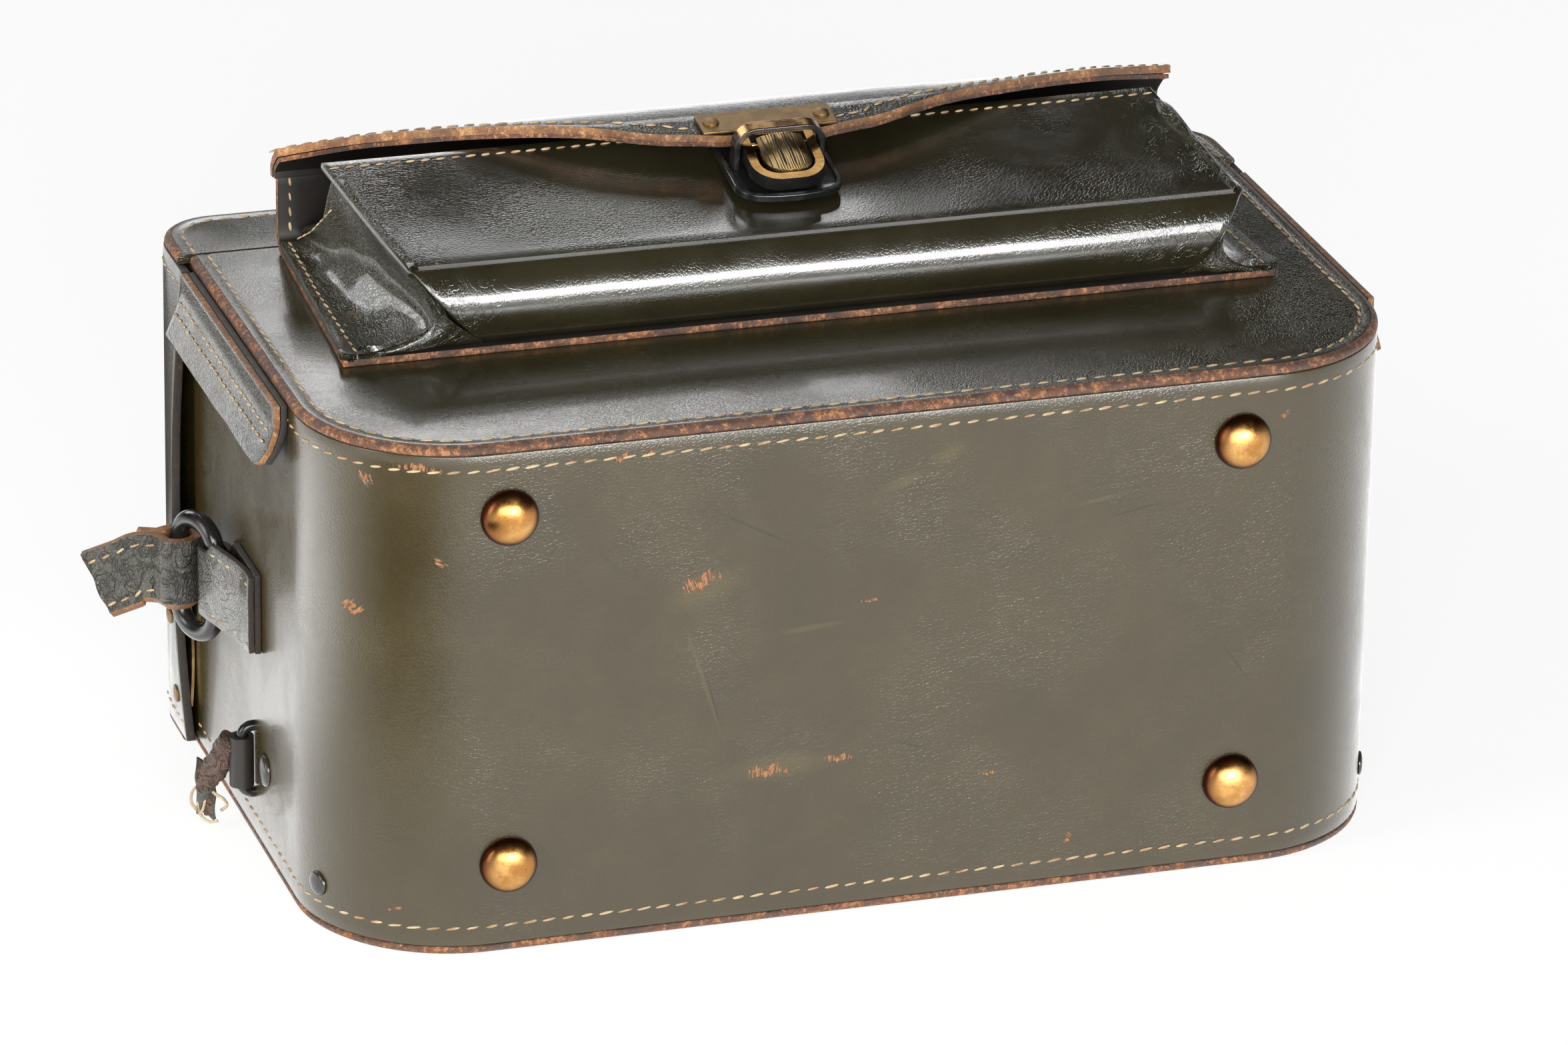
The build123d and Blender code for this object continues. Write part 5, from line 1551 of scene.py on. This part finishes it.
def buildChape():
    path = chapePath()
    for side, sign in (("left", -1), ("right", 1)):
        mesh = gridMesh(f"chapeStrip_{side}", chapeRows(path, sign))
        mesh.materials.append(slackHide)
        mesh.materials.append(darkEdge)
        pointOutwards(mesh)
        paint(mesh, "slack", lambda x, y, z: 0.4)
        paint(mesh, "wear", lambda x, y, z: 0.3 * max(0.0, 1 - min(z - 59, 81 - z) / 2))
        item = addObject(f"chapeStrip_{side}", mesh)
        thicken(item, chape["layer"] - 0.05, 0.0, roundEdge=0.3)
        finishPiece(item, "case", f"chape_{side}", slot="fitting_leather")
        for z in chape["seams"]:
            row = [(sign * (153.85 + 0.24 * max(0.0, y - 84)), y, z) for y in (79, 84, 88, 92, 96, 100)]
            sew("case", spread(row, 1.2), (sign, 0.0, 0), **stitchSizes["strap"])


buildRing()
buildStaple()
buildChape()
print("rings, staples and chapes made")

# Strap end on the left ring
strap = {"width": 20.6, "leather": 2.8, "loop": 4.2, "angle": 24.0, "neck": 5.5, "lap": 11.0,
         "length": 23.4, "droop": 24.0, "contact": 0.9, "z": 67.3, "throat": 0.35, "slant": 2.2,
         "droopRun": 5, "seams": (2, 11)}


def strapAxes():
    turn = math.radians(strap["angle"])
    along = Vector((-math.cos(turn), math.sin(turn), 0))
    limb = ringEye + ringOut * 2 * ringShape["bend"]
    centre = limb + along * (strap["loop"] - ringShape["wire"] - strap["contact"])
    centre.z = strap["z"]
    return centre, along, Vector((0, 0, 1)).cross(along)


def strapPath():
    # (along, across) of the strip's middle: its lapped end, round the ring, out to the torn end
    half = strap["leather"] / 2
    start = math.degrees(math.acos(strap["throat"]))
    circle = arcPoints((0, 0), strap["loop"] + half, -start, -360 + start, 26)
    path = spread([(strap["lap"], -half), (strap["neck"], -half), circle[0]], 1.2) + circle[1:]
    return path + spread([circle[-1], (strap["neck"], half), (strap["length"], half)], 1.2)[1:]


def strapSection():
    # (across, thick) round the strip: its grain side, then its cut edges and flesh side
    wide, thin = strap["width"] / 2, strap["leather"] / 2 - 0.05
    grain = [(wide - 2 * wide * k / 14, thin) for k in range(13)] + [(strap["slant"] - wide, thin)]
    flesh = [(-wide, -0.5 * thin), (-wide + 0.4, -thin)]
    return grain, flesh + [(-wide + 2 * wide * k / 6, -thin) for k in range(1, 7)]


def buildStrap():
    centre, along, facing = strapAxes()
    path = strapPath()
    grain, flesh = strapSection()
    section = grain + flesh
    width, last = len(section), len(path) - 1
    hinge = strap["lap"] - strap["leather"]
    rows = []
    for i, ((x, y), (nx, ny)) in enumerate(zip(path, sideways(path))):
        tail = i > len(path) / 2 and x > hinge
        bend = math.radians(strap["droop"]) * min(1.0, (x - hinge) / strap["droopRun"]) if tail else 0.0
        row = []
        for across, thick in section:
            out = thick + 0.2 * wander(x, y * 2, across, 6, 9.0) * (thick > 0)
            px, py, pz = x - nx * out, y - ny * out, across
            if i == last:
                px -= 0.5 + 0.7 * wander(across, 3, 1, 2.2, 4.0)
            if tail:
                run = px - hinge
                px = hinge + run * math.cos(bend) + across * math.sin(bend)
                pz = across * math.cos(bend) - run * math.sin(bend)
            row.append(tuple(centre + along * px + facing * py + Vector((0, 0, 1)) * pz))
        rows.append(row)
    mesh = gridMesh("strapStrip", rows, closedRow=True)
    for face in mesh.polygons:
        face.material_index = 0 if face.index % width < len(grain) - 1 else 1
    pointOutwards(mesh, [range(width), range(last * width, (last + 1) * width)], 1)
    mesh.materials.append(strapHide)
    mesh.materials.append(suedeEdge)
    paint(mesh, "slack", lambda x, y, z: 0.8)
    finishPiece(addObject("strapStrip", mesh), "strap", "strap_end_left", slot="strap_leather", smooth=55)
    first = next(i for i in range(len(path) // 2, last) if path[i][0] > strap["neck"] + 1)
    for column in strap["seams"]:
        line = [tuple(Vector(rows[i][column]) + facing * 0.05) for i in range(first, last - 1)]
        sew("strap", spread(line, 1.0), tuple(facing), **stitchSizes["strap"])


buildStrap()
print("strap end made")

# Torn loop on the left staple: a rolled strip of hide with its felt core and sewing threads showing
tornLoop = {"ring": 2.6, "outside": 0.75, "inside": 0.65, "width": 14.5, "roll": 3.2, "rollSteps": 30,
            "start": (-155.9, 88.4, 30.0), "end": (-161.8, 96.5, 12.5), "thread": 0.42}
tornThreads = [
    [(0, 0, 0), (-1.5, 0.5, -4), (-1.0, 0.5, -8), (1.5, 0.0, -10.5), (4.0, -0.5, -10.0)],
    [(1, -1, 1), (2.5, -2.0, -1), (5.0, -2.5, -2.5), (6.5, -2.0, -5.0), (4.5, -1.5, -6.5)],
    [(-1, 1, 1), (-3.0, 1.0, -1), (-3.5, 0.5, -4), (-2.0, 0.0, -6)],
    [(0.5, 0, -1), (0.0, -1.0, -5), (-1.5, -1.5, -7)],
]
tornStart, tornEnd = Vector(tornLoop["start"]), Vector(tornLoop["end"])
tornAxis = (tornEnd - tornStart).normalized()


def tornRollMesh():
    count = tornLoop["rollSteps"]
    points = [tuple(tornStart.lerp(tornEnd, i / count)) for i in range(count + 1)]
    radii = [tornLoop["roll"] * (0.78 + 0.3 * math.sin(math.pi * min(1.0, 0.15 + i / count)) ** 0.5
                                 + 0.06 * math.sin(i * 1.7)) * (0.9 if i > count - 2 else 1.0)
             for i in range(count + 1)]
    return tube("roll", points, radii, 28, first=(0, 1, 0), rough=0.28)


def tornBandMesh():
    # the part of the strip that still goes round the staple
    x, y, z = staple["bar"]
    half, ring = tornLoop["width"] / 2, tornLoop["ring"]
    outer = arcPoints((x, y), ring + tornLoop["outside"], 0, 360, 28)[:-1]
    inner = arcPoints((x, y), ring - tornLoop["inside"], 0, 360, 28)[:-1]
    rows = []
    for i in range(9):
        level = z - half + 2 * half * i / 8
        rows.append([(px, py, level + 0.4 * wander(px, py, i, 3)) for px, py in outer])
    rows += [[(px, py, z + half - 2 * half * i / 8) for px, py in inner] for i in range(9)]
    mesh = gridMesh("band", rows, closedRow=True, closedColumn=True)
    pointOutwards(mesh)
    return mesh


def buildTornRoll():
    shell = bmesh.new()
    shell.from_mesh(tornRollMesh())
    rollFaces = len(shell.faces)
    shell.from_mesh(tornBandMesh())
    shell.faces.ensure_lookup_table()
    # the band is the same strip as the brown roll but takes the near-black inner hide: painted shade, for
    # where it lies behind the roll and round the staple against the wall
    for face in shell.faces[rollFaces:]:
        face.material_index = 1
    mesh = bpy.data.meshes.new("tornRoll")
    shell.to_mesh(mesh)
    shell.free()
    mesh.materials.append(tornHide)
    mesh.materials.append(innerHide)
    finishPiece(addObject("tornRoll", mesh), "torn_loop", "torn_loop_left", slot="torn_leather", smooth=60)


def buildCoreEnd():
    core = spread([tuple(tornEnd + tornAxis * (2.2 * i - 2.0) + Vector((0.2 * i, -0.3 * i, -0.5 * i)))
                   for i in range(5)], 0.9)
    radii = [2.5 - 0.17 * i for i in range(len(core))]
    mesh = tube("coreEnd", core, radii, 20, first=(0, 1, 0), rough=0.7)
    mesh.materials.append(coreFelt)
    finishPiece(addObject("coreEnd", mesh), "torn_loop", slot="torn_leather", smooth=60)


def buildTornLeaf():
    side = tornAxis.cross(Vector((0, 0, 1))).normalized()
    leaf = []
    for i in range(13):
        row = []
        for j in range(11):
            u, v = i / 12, j / 10
            spot = tornEnd + Vector((0, 0, 1)) * (6.5 - 14 * u) + tornAxis.cross(side) * (7 * (v - 0.5))
            spot += side * (1.0 + 1.4 * wander(u * 9, v * 9, 3, 4, 2.0))
            spot += Vector((0, 0, -1)) * (1.6 * wander(v * 12, 7, 1, 2.0, 3.0) if i == 12 else 0)
            row.append(tuple(spot))
        leaf.append(row)
    hideSheet("tornLeaf", leaf, 1.1, tuple(side), "torn_loop", [], slot="torn_leather",
              faces=(tornHide, coreFelt), offset=0.0, roundEdge=0.2)


def buildTornThreads():
    shell = bmesh.new()
    for line in tornThreads:
        points = spread(softened([tuple(tornEnd + Vector(p)) for p in line], 0.45, 4), 0.8)
        shell.from_mesh(tube("thread", points, tornLoop["thread"], 8, first=(0, 1, 0), rough=0.3))
    mesh = bpy.data.meshes.new("tornThreads")
    shell.to_mesh(mesh)
    shell.free()
    mesh.materials.append(linenThread)
    finishPiece(addObject("tornThreads", mesh), "torn_loop", slot="torn_leather", smooth=0)


buildTornRoll()
buildCoreEnd()
buildTornLeaf()
buildTornThreads()
print("torn loop made")

# Tuck lock: worn metal edges made from merged copies of the source's own solids
wornEdge = {"segments": 2, "angle": 28}
# material, width of the worn edge, body, slot
lockPieces = {
    "clasp_base_plate": (blackEnamel, 0.3, "case", "black_enamel"),
    "clasp_arch": (rubbedBlack, 0.3, "case", "black_enamel"),
    "clasp_mount_plate": (dullBrass, 0.2, "flap", "aged_brass"),
    "clasp_tongue": (rubbedBlack, 0.25, "flap", "aged_brass"),
    "thumb_lever": (lockBrass, 0.08, "lever", "aged_brass"),
}
leverRibs = {"count": 10, "pitch": 0.95, "width": 0.5, "height": 0.26, "x": -1.5, "steps": 26, "bed": 0.06}


def wornCopy(node, material, width, body, slot):
    mesh = nodes[node].data.copy()
    mesh.name = f"{node}Worn"
    shell = bmesh.new()
    shell.from_mesh(mesh)
    bmesh.ops.remove_doubles(shell, verts=shell.verts, dist=1e-6)
    bmesh.ops.dissolve_limit(shell, angle_limit=math.radians(1.0), verts=shell.verts, edges=shell.edges)
    shell.to_mesh(mesh)
    shell.free()
    mesh.materials.clear()
    mesh.materials.append(material)
    bare = mesh.attributes.new("bare", "FLOAT", "FACE")
    for face in mesh.polygons:
        bare.data[face.index].value = min(1.0, max(0.0, 2 * face.normal.z - 0.7))
    item = addObject(f"{node}Worn", mesh)
    soft = item.modifiers.new("wornEdge", "BEVEL")
    soft.width = width / 1000
    soft.segments = wornEdge["segments"]
    soft.limit_method = "ANGLE"
    soft.angle_limit = math.radians(wornEdge["angle"])
    return finishPiece(item, body, node, slot=slot, smooth=35)


def buildLeverRibs():
    # fine raised lines laid on the lever's own top
    source = bmesh.new()
    source.from_mesh(nodes["thumb_lever"].data)
    tree = BVHTree.FromBMesh(source)
    source.free()
    low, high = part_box("thumb_lever")
    ribs = leverRibs
    shell = bmesh.new()
    lines = [(ribs["x"] + ribs["pitch"] * (k - (ribs["count"] - 1) / 2), ribs["width"], ribs["height"], 0)
             for k in range(ribs["count"])]
    lines += [(x, ribs["pitch"], ribs["bed"], 1) for x, _, _, _ in lines]
    for place, width, height, paintIndex in lines:
        x = place / 1000
        rows = []
        for i in range(ribs["steps"] + 1):
            y = low.y + (high.y - low.y) * (0.12 + 0.8 * i / ribs["steps"])
            hit, normal, _, _ = tree.ray_cast(Vector((x, y, high.z + 0.01)), Vector((0, 0, -1)))
            if hit is None or normal.z < 0.3:
                continue
            rise = height / 1000 * min(1.0, 0.15 + 4 * min(i, ribs["steps"] - i) / ribs["steps"])
            half = width / 2000
            rows.append([shell.verts.new(hit + normal * h + Vector((s * half, 0, 0)))
                         for s, h in ((-1, -0.0001), (-0.5, rise), (0.5, rise), (1, -0.0001))])
        for a, b in zip(rows, rows[1:]):
            for k in range(4):
                face = shell.faces.new((a[k], a[(k + 1) % 4], b[(k + 1) % 4], b[k]))
                face.material_index = paintIndex
        if rows:
            shell.faces.new(rows[0])
            shell.faces.new(list(reversed(rows[-1])))
    bmesh.ops.recalc_face_normals(shell, faces=shell.faces)
    mesh = bpy.data.meshes.new("leverRibs")
    shell.to_mesh(mesh)
    shell.free()
    mesh.materials.append(lockBrass)
    mesh.materials.append(innerHide)
    finishPiece(addObject("leverRibs", mesh), "lever", slot="aged_brass", smooth=30)


def buildLock():
    for node, settings in lockPieces.items():
        material, width, body, slot = settings
        wornCopy(node, material, width, body, slot)
    buildLeverRibs()


buildLock()
print("lock made")

# Lining: a cup of short-napped cloth, its front edge lower than its tucked collar
liningShape = {"floor": 7.6, "low": 4.9, "high": 140.1, "half": 147.1, "radius": 34.4, "cloth": 0.95,
               "collar": 168.8, "frontEdge": 151.8, "corner": 5.0, "slopeFrom": 120}


def cupRing(y):
    # (x, z) round the cup at a height, inside of its cloth
    shape = liningShape
    radius, r = shape["radius"], shape["corner"]
    lift = y - shape["floor"]
    half = shape["half"] - shape["cloth"]
    if lift < radius:
        half -= radius - math.sqrt(max(0.0, radius ** 2 - (radius - lift) ** 2))
    low, high = shape["low"] + shape["cloth"], shape["high"] - shape["cloth"]
    line = arcPoints((half - r, low + r), r, 270, 360, 5) + arcPoints((half - r, high - r), r, 0, 90, 5)
    line += arcPoints((-half + r, high - r), r, 90, 180, 5) + arcPoints((-half + r, low + r), r, 180, 270, 5)
    return spread(line + line[:1], 6)[:-1]


def buildLining():
    shape = liningShape
    levels = [shape["floor"] + shape["cloth"] + shape["radius"] * (1 - math.cos(math.pi / 2 * i / 12))
              for i in range(13)]
    levels += [levels[-1] + (shape["collar"] - levels[-1]) * i / 26 for i in range(1, 27)]
    count = len(cupRing(shape["collar"]))
    bend = shape["slopeFrom"]
    rows = []
    for y in levels:
        ring = cupRing(y)
        row = []
        for x, z in even(ring + ring[:1], count)[:-1]:
            top = shape["frontEdge"] if z > shape["high"] - 3.5 else shape["collar"]
            height = bend + (y - bend) * (top - bend) / (shape["collar"] - bend) if y > bend else y
            row.append((x, height, z))
        rows.append(row)
    mesh = gridMesh("liningCup", rows, closedRow=True)
    pointOutwards(mesh, [range(count)])
    mesh.materials.append(caseCloth)
    mesh.materials.append(caseCloth)
    item = addObject("liningCup", mesh)
    wall = item.modifiers.new("thickness", "SOLIDIFY")
    wall.thickness = shape["cloth"] / 1000
    wall.offset = 1.0
    finishPiece(item, "case", "lining", slot="lining", smooth=60)


# Dividers: thin sewn pads, blown up a little by a short cloth run
dividerShape = {"cells": 34, "start": 2.6, "rim": 1.0, "pinch": 0.55,
                "cap": 0.55, "pressure": 3.0, "frames": 12,
                "quality": 5, "mass": 0.05, "stretch": 8, "bending": 0.2}


def padMesh(low, high):
    cells, pinch = dividerShape["cells"], dividerShape["pinch"]
    middle = (low.x + high.x) / 2
    half = dividerShape["start"] / 2000
    inset = dividerShape["rim"] / 1000
    shell = bmesh.new()
    sheets = []
    for sign in (-1, 1):
        sheet = []
        for i in range(cells + 1):
            row = []
            for j in range(cells + 1):
                y = low.y + inset + (high.y - low.y - 2 * inset) * i / cells
                z = low.z + inset + (high.z - low.z - 2 * inset) * j / cells
                edge = min(i, j, cells - i, cells - j)
                row.append(shell.verts.new((middle + sign * half * (pinch if edge == 0 else 1.0), y, z)))
            sheet.append(row)
        sheets.append(sheet)
        for i in range(cells):
            for j in range(cells):
                shell.faces.new((sheet[i][j], sheet[i][j + 1], sheet[i + 1][j + 1], sheet[i + 1][j]))
    a, b = sheets
    for i in range(cells):
        for p, q in (((i, 0), (i + 1, 0)), ((i, cells), (i + 1, cells)), ((0, i), (0, i + 1)),
                     ((cells, i), (cells, i + 1))):
            shell.faces.new((a[p[0]][p[1]], a[q[0]][q[1]], b[q[0]][q[1]], b[p[0]][p[1]]))
    bmesh.ops.recalc_face_normals(shell, faces=shell.faces)
    mesh = bpy.data.meshes.new("pad")
    shell.to_mesh(mesh)
    shell.free()
    return mesh


def inflate(mesh):
    item = addObject("padBlank", mesh)
    run = item.modifiers.new("fill", "CLOTH")
    run.settings.quality = dividerShape["quality"]
    run.settings.mass = dividerShape["mass"]
    run.settings.tension_stiffness = run.settings.compression_stiffness = dividerShape["stretch"]
    run.settings.bending_stiffness = dividerShape["bending"]
    run.settings.use_pressure = True
    run.settings.uniform_pressure_force = dividerShape["pressure"]
    run.settings.effector_weights.gravity = 0
    scene = bpy.context.scene
    for step in range(1, dividerShape["frames"] + 1):
        scene.frame_set(step)
    graph = bpy.context.evaluated_depsgraph_get()
    blown = bpy.data.meshes.new_from_object(item.evaluated_get(graph))
    cap = dividerShape["cap"] / 1000
    for old, new in zip(mesh.vertices, blown.vertices):
        move = new.co - old.co
        if move.length > cap:
            new.co = old.co + move.normalized() * cap
    bpy.data.objects.remove(item)
    scene.frame_set(1)
    return blown


def buildDividers():
    low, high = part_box("divider_left")
    pad = padMesh(low, high)
    pad = inflate(pad)
    lowRight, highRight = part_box("divider_right")
    shift = (lowRight.x + highRight.x - low.x - high.x) / 2
    other = pad.copy()
    for vertex in other.vertices:
        vertex.co.x += shift
    for side, mesh in (("left", pad), ("right", other)):
        mesh.materials.clear()
        mesh.materials.append(caseCloth)
        item = addObject(f"dividerPad_{side}", mesh)
        rounder = item.modifiers.new("rounder", "SUBSURF")
        rounder.levels = rounder.render_levels = 1
        finishPiece(item, "case", f"divider_{side}", slot="lining", smooth=0)


lidPad = {"columns": 40, "rows": 24, "cloth": 0.9, "sink": 1.45, "rimRise": 0.6, "rimShare": 22}


def buildLidPad():
    pad = lidPad
    low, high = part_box("lid_lining")
    rows = []
    for i in range(pad["columns"] + 1):
        row = []
        for j in range(pad["rows"] + 1):
            u, v = i / pad["columns"], j / pad["rows"]
            x = low.x * 1000 + (high.x - low.x) * 1000 * u
            z = low.z * 1000 + (high.z - low.z) * 1000 * v
            rim = pad["rimRise"] * max(0.0, 1 - min(u, 1 - u, v, 1 - v) * pad["rimShare"]) ** 2
            y = high.y * 1000 - bottomY - pad["sink"] + rim
            row.append((x, y + 0.1 * wander(x, y, z, 25, 6.0), z))
        rows.append(row)
    hideSheet("lidPad", rows, pad["cloth"], (0, -1, 0), "lid", ["lid_lining"], slot="lining",
              faces=(caseCloth, caseCloth), roundEdge=0.0)


buildLining()
buildDividers()
buildLidPad()
print("lining made")

makeSewing()


# Boards, catches, small rivets and the lever's pin keep the source's own shape
def keptFinish(name):
    if name.endswith("_board"):
        return fibreBoard
    return dullBrass if name.startswith(("catch_rivet", "clasp_rivet")) else lockBrass


for name, item in nodes.items():
    if not item.hide_render:
        item.data.materials.clear()
        item.data.materials.append(keptFinish(name))
        print("kept from the source:", name)
